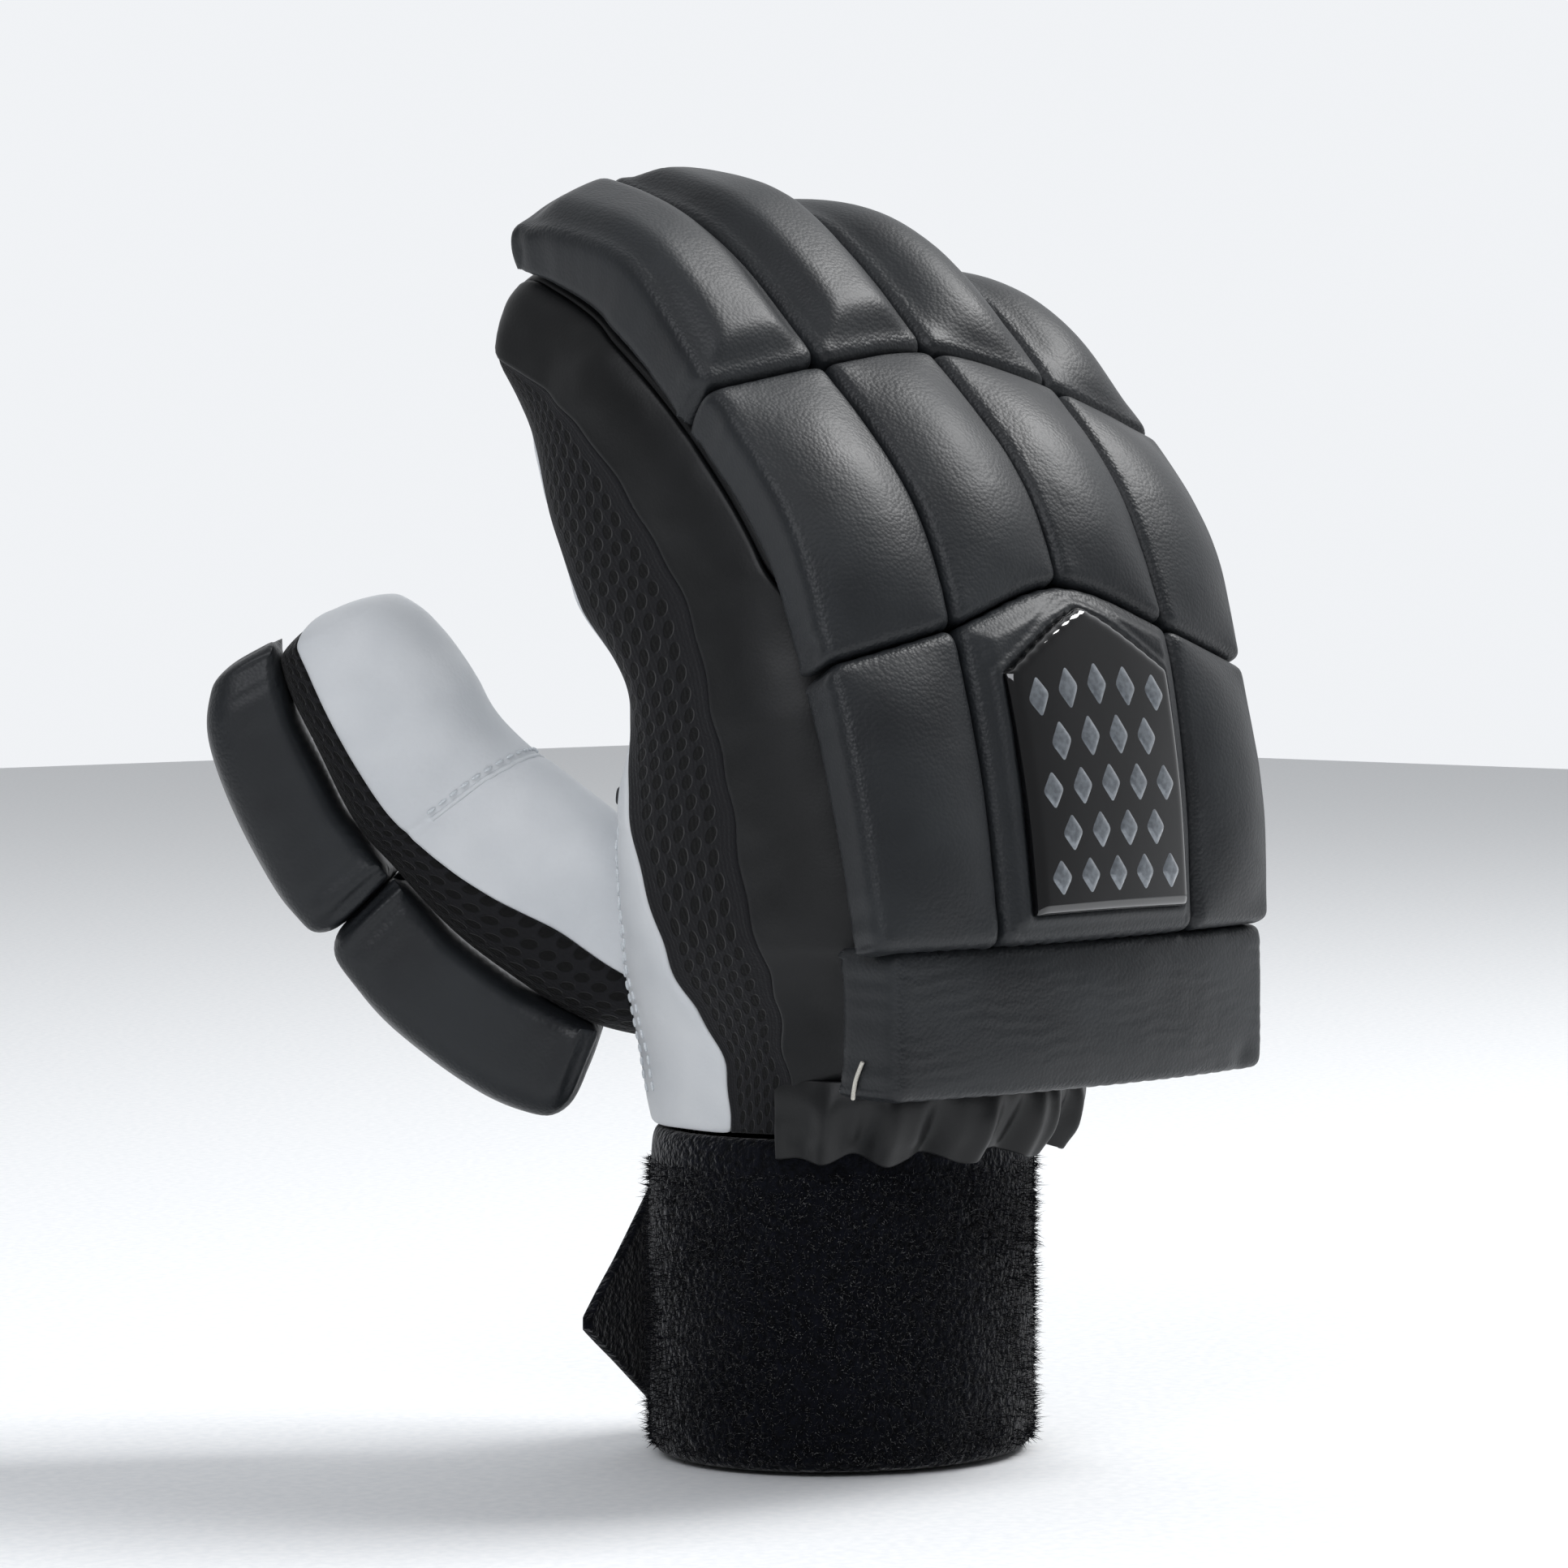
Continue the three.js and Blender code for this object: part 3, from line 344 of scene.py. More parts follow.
def meshMaterial():
    material, tree, shader = startMaterial("knittedMesh", {
        "Roughness": 0.85, "Sheen Weight": 0.1, "Sheen Roughness": 0.5, "Specular IOR Level": 0.25})
    place = addNode(tree, "UVMap", {"uv_map": "cloth"}).outputs["UV"]
    parts = addNode(tree, "SeparateXYZ", links={"Vector": place})
    u, v = parts.outputs["X"], parts.outputs["Y"]
    column = addNode(tree, "Math", {"operation": "MULTIPLY"}, {0: u, 1: 1 / meshLook["holeAcross"]})
    row = addNode(tree, "Math", {"operation": "MULTIPLY"}, {0: v, 1: 1 / meshLook["holeAlong"]})
    slant = addNode(tree, "Math", {"operation": "MULTIPLY_ADD"},
                    {0: column.outputs[0], 1: 0.5, 2: row.outputs[0]})
    lattice = addNode(tree, "CombineXYZ", links={"X": column.outputs[0], "Y": slant.outputs[0]})
    cell = addNode(tree, "TexVoronoi", {"voronoi_dimensions": "2D"},
                   {"Vector": lattice.outputs[0], "Scale": 1.0, "Randomness": 0.0}).outputs["Distance"]
    shadedHole = addNode(tree, "MapRange", {"interpolation_type": "SMOOTHSTEP"},
                   {"Value": cell, "From Min": 0.3, "From Max": 0.4})
    band = addNode(tree, "Attribute", {"attribute_name": "bend"}).outputs["Fac"]
    yarnShare = addNode(tree, "Math", {"operation": "MAXIMUM"}, {0: shadedHole.outputs[0], 1: band})
    ribs = addNode(tree, "TexWave", {"bands_direction": "X"},
                   {"Vector": place, "Scale": meshLook["waveScale"] / meshLook["rib"], "Distortion": 0.4,
                    "Detail": 0.0}).outputs["Fac"]
    yarn = addNode(tree, "TexNoise", links={"Vector": place, "Scale": 1.6, "Detail": 1.0}).outputs["Fac"]
    # the black in the holes is painted shade for the dark openings, not the yarn's colour
    tint = addNode(tree, "ValToRGB", {"stops": [(0.0, meshLook["shadedHole"]), (1.0, meshLook["yarn"])]},
                   {"Fac": yarnShare.outputs[0]})
    fuzz = addNode(tree, "Math", {"operation": "MULTIPLY_ADD"}, {0: yarn, 1: 0.5, 2: yarnShare.outputs[0]})
    height = addNode(tree, "Math", {"operation": "MULTIPLY_ADD"}, {0: ribs, 1: 0.12, 2: fuzz.outputs[0]})
    bump = addNode(tree, "Bump", links={"Height": height.outputs[0], "Strength": 0.7, "Distance": 0.0005})
    tree.links.new(tint.outputs["Color"], shader.inputs["Base Color"])
    tree.links.new(bump.outputs["Normal"], shader.inputs["Normal"])
    return material


# cotton terry towelling dyed blue-black: light dies in the pile, so no gloss and a soft rim
towelLook = {"dark": "050609", "light": "10121a", "loop": 1.5}


def towelMaterial():
    material, tree, shader = startMaterial("terryTowelling", {
        "Roughness": 1.0, "Sheen Weight": 0.3, "Sheen Roughness": 0.4, "Specular IOR Level": 0.1})
    place = addNode(tree, "TexCoord").outputs["Object"]
    patches = addNode(tree, "TexNoise", links={"Vector": place, "Scale": 1000 / towelLook["loop"],
                                               "Detail": 2.0}).outputs["Fac"]
    tint = addNode(tree, "ValToRGB", {"stops": [(0.35, towelLook["dark"]), (0.75, towelLook["light"])]},
                   {"Fac": patches})
    bump = addNode(tree, "Bump", links={"Height": patches, "Strength": 1.0, "Distance": 0.0012})
    tree.links.new(tint.outputs["Color"], shader.inputs["Base Color"])
    tree.links.new(bump.outputs["Normal"], shader.inputs["Normal"])
    return material


def plainMaterial(name, dark, light, scale, rough, bumpSize, sockets=None):
    material, tree, shader = startMaterial(name, {"Roughness": rough, **(sockets or {})})
    place = addNode(tree, "TexCoord").outputs["Object"]
    grain = addNode(tree, "TexNoise", links={"Vector": place, "Scale": scale, "Detail": 4.0}).outputs["Fac"]
    tint = addNode(tree, "ValToRGB", {"stops": [(0.35, dark), (0.65, light)]}, {"Fac": grain})
    bump = addNode(tree, "Bump", links={"Height": grain, "Strength": 0.5, "Distance": bumpSize})
    tree.links.new(tint.outputs["Color"], shader.inputs["Base Color"])
    tree.links.new(bump.outputs["Normal"], shader.inputs["Normal"])
    return material


padLeather = leatherMaterial(padLook)
# the plain leather is the pad leather made darker, as painted shade on the strips, back shell and skirt
shadedPlainLeather = leatherMaterial(shadedStripLook)
whiteLeather = leatherMaterial(whiteLook)
knittedMesh = meshMaterial()
towelling = towelMaterial()
# poured polyurethane dome: wet-looking, with faint waves
glossDome = plainMaterial("pouredDome", "040405", "070709", 60.0, 0.07, 0.0002,
                          {"Coat Weight": 1.0, "Coat Roughness": 0.04})
# silver ink under the dome
silverInk = plainMaterial("silverInk", "6a6f75", "82888e", 900.0, 0.34, 0.00003,
                          {"Metallic": 0.6, "Coat Weight": 0.8})
# bonded nylon sewing thread
whiteThread = plainMaterial("whiteThread", "c4c9cd", "dfe3e6", 3000.0, 0.6, 0.0001)
blackThread = plainMaterial("blackThread", "101114", "1d1f23", 3000.0, 0.5, 0.0001)
creamThread = plainMaterial("creamThread", "b9b6ac", "d8d5cb", 3000.0, 0.6, 0.0001)
print("materials made")


# building pieces
def gridMesh(columns, rows):
    bm = bmesh.new()
    bmesh.ops.create_grid(bm, x_segments=columns, y_segments=rows, size=0.5)
    places = np.array([v.co[:2] for v in bm.verts])
    return bm, (places - places.min(axis=0)) / (places.max(axis=0) - places.min(axis=0))


def moveVerts(bm, points):  # mm in the glove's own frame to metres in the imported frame
    for vert, point in zip(bm.verts, (points + shift) / 1000):
        vert.co = point


def setLayer(bm, name, values):
    layer = bm.verts.layers.float.new(name)
    for vert, value in zip(bm.verts, values):
        vert[layer] = float(value)


surfaces = {}  # each piece's vertices and their normals, for what is sewn on it later


def finishPiece(name, bm, materials, nodes, wall=0, levels=1):
    bm.normal_update()
    surfaces[name] = np.array([v.co[:] for v in bm.verts]), np.array([v.normal[:] for v in bm.verts])
    mesh = bpy.data.meshes.new(name)
    bm.to_mesh(mesh)
    bm.free()
    mesh.shade_smooth()
    for material in materials:
        mesh.materials.append(material)
    piece = bpy.data.objects.new(name, mesh)
    scene.collection.objects.link(piece)
    if wall:
        shell = piece.modifiers.new("wall", "SOLIDIFY")
        shell.thickness, shell.offset = wall / 1000, -1
    if levels:
        smooth = piece.modifiers.new("smooth", "SUBSURF")
        smooth.levels = smooth.render_levels = levels
    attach(piece, "root")
    if nodes:
        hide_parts(*nodes)
    return piece


def sheetPiece(name, columns, rows, place, material, nodes, look):
    bm, grid = gridMesh(columns, rows)
    points = place(grid[:, 0], grid[:, 1])
    inside = np.array(look["inside"])
    moveVerts(bm, points)
    bm.normal_update()
    facing = sum(v.normal.dot(Vector((p - inside))) for v, p in zip(bm.verts, points))
    if facing < 0:
        bmesh.ops.reverse_faces(bm, faces=bm.faces)
        bm.normal_update()
    push = look["relief"](grid[:, 0], grid[:, 1], points) if "relief" in look else np.zeros(len(points))
    for vert, value in zip(bm.verts, push):
        vert.co += vert.normal * (value / 1000)
    bend = look["bend"](grid[:, 0], grid[:, 1]) if "bend" in look else np.zeros(len(points))
    setLayer(bm, "bend", bend)
    # the cloth's own map, in mm, and its flat size
    order = np.lexsort((grid[:, 0], grid[:, 1]))
    table = np.array([v.co[:] for v in bm.verts])[order].reshape(rows + 1, columns + 1, 3) * 1000
    across = np.linalg.norm(np.diff(table, axis=1), axis=2).sum(axis=1)
    along = np.linalg.norm(np.diff(table, axis=0), axis=2).sum(axis=0)
    uvLayer = bm.loops.layers.uv.new("cloth")
    meanAcross, meanAlong = float(across.mean()), float(along.mean())
    for i, vert in enumerate(bm.verts):
        for loop in vert.link_loops:
            loop[uvLayer].uv = ((grid[i, 0] - 0.5) * meanAcross, grid[i, 1] * meanAlong)
    area = sum(face.calc_area() for face in bm.faces)
    piece = finishPiece(name, bm, [material], nodes, wall=look.get("wall", glove["wall"]))
    return piece


# a foam block in leather: flat or crowned top, bevelled shoulders, side walls that tuck in at the foot
padForm = {"step": 2.1, "rings": 8, "shoulder": 0.45, "tuck": 0.3, "gather": 0.5, "fill": 0.85,
           "edgeLift": 0.5, "gatherReach": 9.0, "foldWave": 1.15, "foldDrift": 0.31, "crossWave": 1.3,
           "grainRing": 0.16, "grainWidth": 0.16, "waves": [(0.32, 24, 0), (0.1, 7, 3)]}


def padPiece(name, pad, place, node):
    pad = {**padForm, **pad}
    step, ringCount = pad["step"], pad["rings"]
    bevel, bevelDepth = pad["bevel"], pad["bevelDepth"]
    low = np.array([pad["x"][0] + bevel, pad["y"][0] + bevel])
    high = np.array([pad["x"][1] - bevel, pad["y"][1] - bevel])
    counts = np.maximum(4, np.round((high - low) / step).astype(int)) + 2 * ringCount
    bm, grid = gridMesh(int(counts[0]), int(counts[1]))
    flatSize = counts - 2 * ringCount
    cells = grid * counts - ringCount
    inner = low + np.clip(cells / flatSize, 0, 1) * (high - low)
    out = np.where(cells < 0, cells, np.where(cells > flatSize, cells - flatSize, 0)) / ringCount
    ring = np.abs(out).max(axis=1)
    length = np.linalg.norm(out, axis=1, keepdims=True)
    way = out / np.maximum(length, 1e-9)
    shoulder = np.clip(ring / pad["shoulder"], 0, 1)
    wallShare = np.clip((ring - pad["shoulder"]) / (1 - pad["shoulder"]), 0, 1)
    reach = bevel * np.sin(shoulder * math.pi / 2)
    drop = bevelDepth * (1 - np.cos(shoulder * math.pi / 2))
    at = inner[:, 1] / pad["unit"]
    foot = pad["foot"](at)
    drop = drop + (foot - bevelDepth) * wallShare
    reach = reach - pad["tuck"] * wallShare ** 2
    flatPlace = inner + way * reach[:, None]
    sideDistance = np.minimum(inner - low, high - inner)
    nearest = sideDistance.min(axis=1) * (ring == 0)
    u = 2 * (inner[:, 0] - low[0]) / (high[0] - low[0]) - 1
    v = 2 * (inner[:, 1] - low[1]) / (high[1] - low[1]) - 1
    swell = (1 - u * u) * (1 - v ** 4)
    if pad.get("plateau"):
        lift = pad["crown"] * np.clip(nearest / pad["plateau"], 0, 1) ** 0.9 + pad["edgeLift"] * swell
    else:
        lift = pad["crown"] * swell
    for dent in pad.get("dents", ()):
        awayX = (flatPlace[:, 0] - dent["x"]) / dent["wide"]
        awayY = (flatPlace[:, 1] - dent["y"]) / dent["long"]
        away = awayX ** 2 + awayY ** 2
        lift = lift - dent["deep"] * np.exp(-away) * (1 - wallShare)
    # gathers run down the walls near the ends
    toEnd = np.minimum(flatPlace[:, 1] - pad["y"][0], pad["y"][1] - flatPlace[:, 1])
    endNear = np.exp(-toEnd / pad["gatherReach"])
    drift = 2.1 * np.sin(flatPlace[:, 1] * pad["foldDrift"] + pad["seed"])
    fold = np.sin(flatPlace[:, 1] * pad["foldWave"] + drift) * endNear
    cross = np.sin(flatPlace[:, 0] * pad["crossWave"] + pad["seed"]) * np.abs(way[:, 1]) * 0.5
    midWall = np.sin(np.clip(ring * 1.15 - 0.2, 0, 1) * math.pi)
    push = pad["gather"] * (fold * np.abs(way[:, 0]) + cross) * midWall
    flatPlace = flatPlace + way * push[:, None]
    if "relief" in pad:
        lift = lift + pad["relief"](flatPlace[:, 0], flatPlace[:, 1])
    points = place(flatPlace[:, 0], flatPlace[:, 1] / pad["unit"], lift - drop)
    wave = sum(deep * ripple(points, size, pad["seed"] + shiftSeed) for deep, size, shiftSeed in pad["waves"])
    points = place(flatPlace[:, 0], flatPlace[:, 1] / pad["unit"], lift - drop + wave)
    moveVerts(bm, points)
    bent = np.exp(-((ring - pad["grainRing"]) / pad["grainWidth"]) ** 2)
    setLayer(bm, "bend", bent + 0.6 * (wallShare > 0) * endNear)
    openEdges = [edge for edge in bm.edges if edge.is_boundary]
    filled = bmesh.ops.edgeloop_fill(bm, edges=openEdges)
    bmesh.ops.triangulate(bm, faces=filled["faces"])
    bmesh.ops.recalc_face_normals(bm, faces=bm.faces)
    return finishPiece(name, bm, [padLeather], [node])


# finger pads
fingerNames = ["index", "middle", "ring", "little"]
padSeam, padBevel = 0.1, 3.2  # half the gap between two pads, and the width of their bevels
padRows = [
    {"row": 2, "part": "tip", "crown": [3.4, 3.8, 5.2, 4.4], "plateau": [5, 5, 0, 0], "dents": {
        "index": [{"x": -57, "y": 207, "wide": 5, "long": 4, "deep": 1.6}]}},
    {"row": 1, "part": "mid", "crown": [2.2, 2.2, 2.2, 2.2], "plateau": [0, 0, 0, 0], "dents": {}},
    {"row": 0, "part": "knuckle", "crown": [2.2, 2.2, 2.2, 2.2], "plateau": [0, 0, 0, 0], "dents": {}},
]


def padFoot(at):
    return readRows(faceAt, faceDepth, np.clip(at, 0, 3))


for padRow in padRows:
    for finger, fingerName in enumerate(fingerNames):
        if padRow["row"] == 0 and finger in (1, 2):
            continue
        left, low = (finger - 2) * pitch, padRow["row"] * rowLength
        padPiece(f"{fingerName}{padRow['part'].title()}Pad", {
            "x": (left + padSeam, left + pitch - padSeam), "y": (low + padSeam, low + rowLength - padSeam),
            "unit": rowLength, "bevel": padBevel, "bevelDepth": 3.6, "foot": padFoot,
            "crown": padRow["crown"][finger], "plateau": padRow["plateau"][finger],
            "dents": padRow["dents"].get(fingerName, ()), "seed": finger + 5 * padRow["row"],
            "gather": 0.9 if finger == 0 else padForm["gather"],
        }, overFace, f"{fingerName}_{padRow['part']}_pad")
print("finger pads made")

# badge panel: a raised leather frame round the plate, with one pressed channel
badge = {"corners": [(-23.3, 5.8), (23.3, 5.8), (23.0, 56.5), (0.5, 64.5), (-23.0, 56.5)],
         "lift": 2.0, "pocket": 1.4, "plate": 2.6, "rim": 1.0, "dome": 1.6, "float": 0.15,
         "channelAt": 3.0, "channelDeep": 0.5, "channelWide": 0.6, "wide": 52, "tall": 66, "low": 2}


def insideDistance(x, y, corners):  # mm inside the outline of the plate, negative outside
    best = np.full(len(x), 1e9)
    for (x0, y0), (x1, y1) in zip(corners, corners[1:] + corners[:1]):
        length = math.hypot(x1 - x0, y1 - y0)
        best = np.minimum(best, ((x1 - x0) * (y - y0) - (y1 - y0) * (x - x0)) / length)
    return best


def panelRelief(x, y):
    inside = insideDistance(x, y, badge["corners"])
    channel = badge["channelDeep"] * np.exp(-((inside + badge["channelAt"]) / badge["channelWide"]) ** 2)
    return -badge["pocket"] * smoothStep(-0.7, 0.1, inside) - channel


padPiece("badgePanel", {
    "x": (-pitch + padSeam, pitch - padSeam), "y": (padSeam, rowLength - padSeam), "unit": rowLength,
    "bevel": padBevel, "bevelDepth": 4.0, "foot": padFoot, "crown": badge["lift"] - 0.4, "plateau": 3.0,
    "seed": 21, "step": 0.95, "relief": panelRelief,
}, overFace, "badge_panel")

# the plate itself, with a plain lattice of lozenges in silver
bm, grid = gridMesh(52, 62)
for vert, (u, v) in zip(bm.verts, grid):
    vert.co = ((u - 0.5) * badge["wide"], v * badge["tall"] + badge["low"], 0)
corners = badge["corners"]
for (x0, y0), (x1, y1) in zip(corners, corners[1:] + corners[:1]):
    outward = Vector((y1 - y0, x0 - x1, 0)).normalized()
    bmesh.ops.bisect_plane(bm, geom=bm.verts[:] + bm.edges[:] + bm.faces[:], plane_co=(x0, y0, 0),
                           plane_no=outward, clear_outer=True)
plateWall = bmesh.ops.extrude_edge_only(bm, edges=[e for e in bm.edges if e.is_boundary])
footVerts = {g for g in plateWall["geom"] if isinstance(g, bmesh.types.BMVert)}
flat = np.array([v.co[:] for v in bm.verts])
isFoot = np.array([v in footVerts for v in bm.verts])
inside = insideDistance(flat[:, 0], flat[:, 1], corners)
bottom = badge["lift"] - badge["pocket"] + badge["float"]
domeRise = np.sqrt(np.clip(1 - (1 - np.clip(inside / badge["dome"], 0, 1)) ** 2, 0, 1))
height = np.where(isFoot, bottom, bottom + badge["rim"] + (badge["plate"] - badge["rim"]) * domeRise)
moveVerts(bm, overFace(flat[:, 0], flat[:, 1] / rowLength, height))
bmesh.ops.recalc_face_normals(bm, faces=bm.faces)
lozenge = {"wide": 6.4, "tall": 8.6, "stepX": 8.4, "stepY": 9.116, "raise": 0.35, "sink": -0.1,
           "first": 13.5, "rows": 5, "farthest": 18}
for row in range(lozenge["rows"]):
    for column in range(-2, 3):
        x0 = (column + (0.5 if row % 2 else 0)) * lozenge["stepX"]
        y0 = lozenge["first"] + row * lozenge["stepY"]
        if abs(x0) > lozenge["farthest"]:
            continue
        made = bmesh.ops.create_grid(bm, x_segments=6, y_segments=6, size=0.5)["verts"]
        turned = [(v.co.x - v.co.y, v.co.x + v.co.y) for v in made]
        px = np.array([x0 + a * lozenge["wide"] / 2 for a, _ in turned])
        py = np.array([y0 + b * lozenge["tall"] / 2 for _, b in turned])
        rim = np.array([max(abs(v.co.x), abs(v.co.y)) for v in made])
        raised = np.where(rim > 0.49, lozenge["sink"], lozenge["raise"] * (rim < 0.36))
        lift = bottom + badge["plate"] + raised
        for vert, point in zip(made, (overFace(px, py / rowLength, lift) + shift) / 1000):
            vert.co = point
        for face in {f for v in made for f in v.link_faces}:
            face.material_index = 1
setLayer(bm, "bend", np.zeros(len(bm.verts)))
finishPiece("badgePlate", bm, [glossDome, silverInk], ["badge"], levels=1)
print("badge made")

# wrist roll
roll = {"low": 0.295 * glove["height"], "high": 0.402 * glove["height"], "end": 0.87 * glove["reach"],
        "bow": 0.08 * glove["reach"], "depth": 17.0, "crease": 0.16, "bevel": 2.8, "over": 1.2}


def rollPoint(x, at, height):
    out = roll["end"] + roll["bow"] * (1 - (2 * x / glove["width"]) ** 2) + height
    return np.stack([x, -out, roll["low"] + at * (roll["high"] - roll["low"])], axis=1)


def crinkle(x, y):  # fine creases along the roll, fading in and out
    line = np.sin(2.1 * y + 1.2 * np.sin(0.23 * x) + 0.7 * np.sin(0.61 * x))
    return roll["crease"] * line * (0.5 + 0.5 * np.sin(0.17 * x + 0.4 * y))


rollLength = roll["high"] - roll["low"]
padPiece("wristRoll", {
    "x": (-0.45 * glove["width"], 0.5 * glove["width"]), "y": (0, rollLength + roll["over"]),
    "unit": rollLength, "bevel": roll["bevel"], "bevelDepth": roll["bevel"],
    "foot": lambda at: np.full(len(at), roll["depth"]), "crown": 1.3, "seed": 31, "gather": 0.35, "step": 1.2,
    "relief": crinkle, "dents": [{"x": 52, "y": 3, "wide": 3, "long": 3, "deep": 0.9}],
}, rollPoint, "wrist_roll")

# thumb pads, with a tight gathered groove between them
thumbUnit, grooveHalf = 17.0, 0.006


def thumbLine(at):  # from the back of the thumb to its inner side
    zero = np.zeros(len(at))
    return np.linalg.norm(thumbPoint(zero, zero, at) - thumbPoint(zero, zero + 1, at), axis=1)


def thumbPadPoint(x, at, height):
    return thumbPoint(x * readRows(thumbAt, thumbWide, at), -height / thumbLine(at), at)


def thumbFoot(at):
    return thumb["padShare"] * thumbLine(at) - glove["seat"]


for name, node, first, last, gather, seed in (
        ("thumbTipPad", "thumb_tip_pad", 0, thumb["groove"] - grooveHalf, 1.1, 41),
        ("thumbBasePad", "thumb_base_pad", thumb["groove"] + grooveHalf, thumb["end"], 1.3, 47)):
    padPiece(name, {
        "x": (-thumb["halfWidth"], thumb["halfWidth"]), "y": (first * thumbUnit, last * thumbUnit),
        "unit": thumbUnit, "bevel": 4.8, "bevelDepth": 6.5, "tuck": 0, "foot": thumbFoot, "crown": 1.4,
        "gather": gather, "seed": seed,
    }, thumbPadPoint, node)
print("roll and thumb pads made")


# strips, gussets, back and palm
hem = {"high": 0.5, "wide": 0.035}
handRun = tipRound["start"] + tipRound["length"] + 1  # rows of the hand, from the cuff to the finger ends
borderMesh = 0.34  # of the gusset's width, from its middle to the ribbed borders


def seamRise(share):  # a folded edge along both sides of a sheet
    return hem["high"] * (np.exp(-(share / hem["wide"]) ** 2) + np.exp(-((1 - share) / hem["wide"]) ** 2))


def sideSheet(side, low, high):
    def place(u, v):
        at = -1 + v * handRun
        top = np.minimum(at, 3)
        return sidePoint(side, low(top) + (high(top) - low(top)) * u, at)
    return place


def wander(at):  # sewn borders run a little unevenly
    return 0.010 * np.sin(8.5 * at) + 0.005 * np.sin(21 * at + 1)


def stripLine(at):
    return readRows(sideAt, stripSeam, at) + wander(at)


def meshLine(at):
    return readRows(sideAt, meshSeam, at) + wander(at + 2) * smoothStep(3, 2.5, at)


def underPads(at):
    return 0.07 + 0 * at


def stripRelief(u, v, points):
    return 0.5 * ripple(points, 20, 3) + 0.2 * ripple(points, 6, 4) + 0.35 * seamRise(u)


def meshRelief(u, v, points):
    return 0.3 * ripple(points, 16, 5) - 0.5 * (1 - seamRise(u) * 2)


handInside = (0, -8, 150)
for side, name in ((-1, "index"), (1, "little")):
    sheetPiece(f"{name}SideStrip", 16, 120, sideSheet(side, underPads, stripLine), shadedPlainLeather,
               [f"{name}_side_strip"],
               {"inside": handInside, "relief": stripRelief, "restsOn": ["back_shell"]})
    sheetPiece(f"{name}SideMesh", 18, 120, sideSheet(side, stripLine, meshLine), knittedMesh,
               [f"{name}_side_mesh"], {"inside": handInside, "relief": meshRelief,
                                       "bend": lambda u, v: (np.abs(u - 0.5) > borderMesh).astype(float)})


def handSheet(sign, low):
    def place(u, v):
        at = -1 + v * handRun
        return frontPoint(u, at, sign, low(np.minimum(at, 3)))
    return place


def palmRelief(u, v, points):
    at = -1 + v * 4
    folds = 0
    for place, deep in ((1.02, 0.9), (1.95, 0.6), (0.35, 0.5)):
        folds = folds - deep * np.exp(-((at - place - 0.08 * np.sin(u * 9)) / 0.035) ** 2)
    return 0.7 * ripple(points, 22, 7) + 0.25 * ripple(points, 7, 8) + folds


sheetPiece("backShell", 56, 90, handSheet(-1, underPads), shadedPlainLeather, ["back_shell"],
           {"inside": handInside})
sheetPiece("palmLeather", 72, 110, handSheet(1, meshLine), whiteLeather, ["palm_leather"],
           {"inside": handInside, "relief": palmRelief})
print("hand made")


def thumbSheet(front):
    def place(u, v):
        at = v * thumb["last"]
        seam = thumbSeamAngle(np.maximum(at, 0.2))
        first, last = (math.pi - seam, seam) if front else (math.pi - seam, 2 * math.pi + seam)
        return thumbShell(first + (last - first) * u, at)
    return place


def thumbSeamAt(u):  # the seam across the thumb, at a share round its leather
    return 4.3 + 1.2 * (u - 0.5)


def thumbRelief(u, v, points):
    at = v * thumb["last"]
    cross = -0.8 * np.exp(-((at - thumbSeamAt(u)) / 0.09) ** 2)
    return 0.5 * ripple(points, 15, 11) + 0.2 * ripple(points, 5, 12) + cross


thumbInside = np.array([-44, 46, 140])
sheetPiece("thumbLeather", 40, 90, thumbSheet(True), whiteLeather, ["thumb_leather"],
           {"inside": thumbInside, "relief": thumbRelief})
sheetPiece("thumbMesh", 40, 90, thumbSheet(False), knittedMesh, ["thumb_mesh"],
           {"inside": thumbInside, "relief": meshRelief, "bend": lambda u, v: np.zeros(len(u))})
print("thumb made")


# cuff: an oval towelling tube with a rolled lower edge
def aroundCuff(angle, off, z):
    x, y = (glove["cuffHalfWidth"] + off) * np.cos(angle), (glove["cuffHalfDepth"] + off) * np.sin(angle)
    return np.stack([x, y, z], axis=1)


cuffProfile = np.array([  # off the outer face and height, both in mm, round the wall and back
    [-4.5, 3.2], [-4.1, 1.1], [-2.4, 0.15], [-0.9, 0.7], [0, 2.6], [0.35, 5], [0.2, 9], [0.1, 20], [0.25, 40],
    [0.3, 55], [0.1, 66], [-0.2, 69.4], [-1.3, 71], [-3.2, 70.9], [-4.4, 69.4], [-4.6, 60], [-4.5, 35],
    [-4.5, 12], [-4.5, 3.2]])


def cuffPlace(u, v):
    spread = np.concatenate([[0], np.cumsum(np.linalg.norm(np.diff(cuffProfile, axis=0), axis=1))])
    spread = spread / spread[-1]
    off = np.interp(v, spread, cuffProfile[:, 0])
    z = np.interp(v, spread, cuffProfile[:, 1])
    return aroundCuff(u * 2 * math.pi, off, z)


bm, grid = gridMesh(110, 80)
points = cuffPlace(grid[:, 0], grid[:, 1])
lump = 0.5 * ripple(points, 16, 15)
outside = points / np.linalg.norm(points * [1, 1, 0], axis=1, keepdims=True) * [1, 1, 0]
moveVerts(bm, points + outside * lump[:, None])
bmesh.ops.remove_doubles(bm, verts=bm.verts, dist=0.00002)
bmesh.ops.recalc_face_normals(bm, faces=bm.faces)
finishPiece("cuffTowelling", bm, [towelling], ["cuff"])

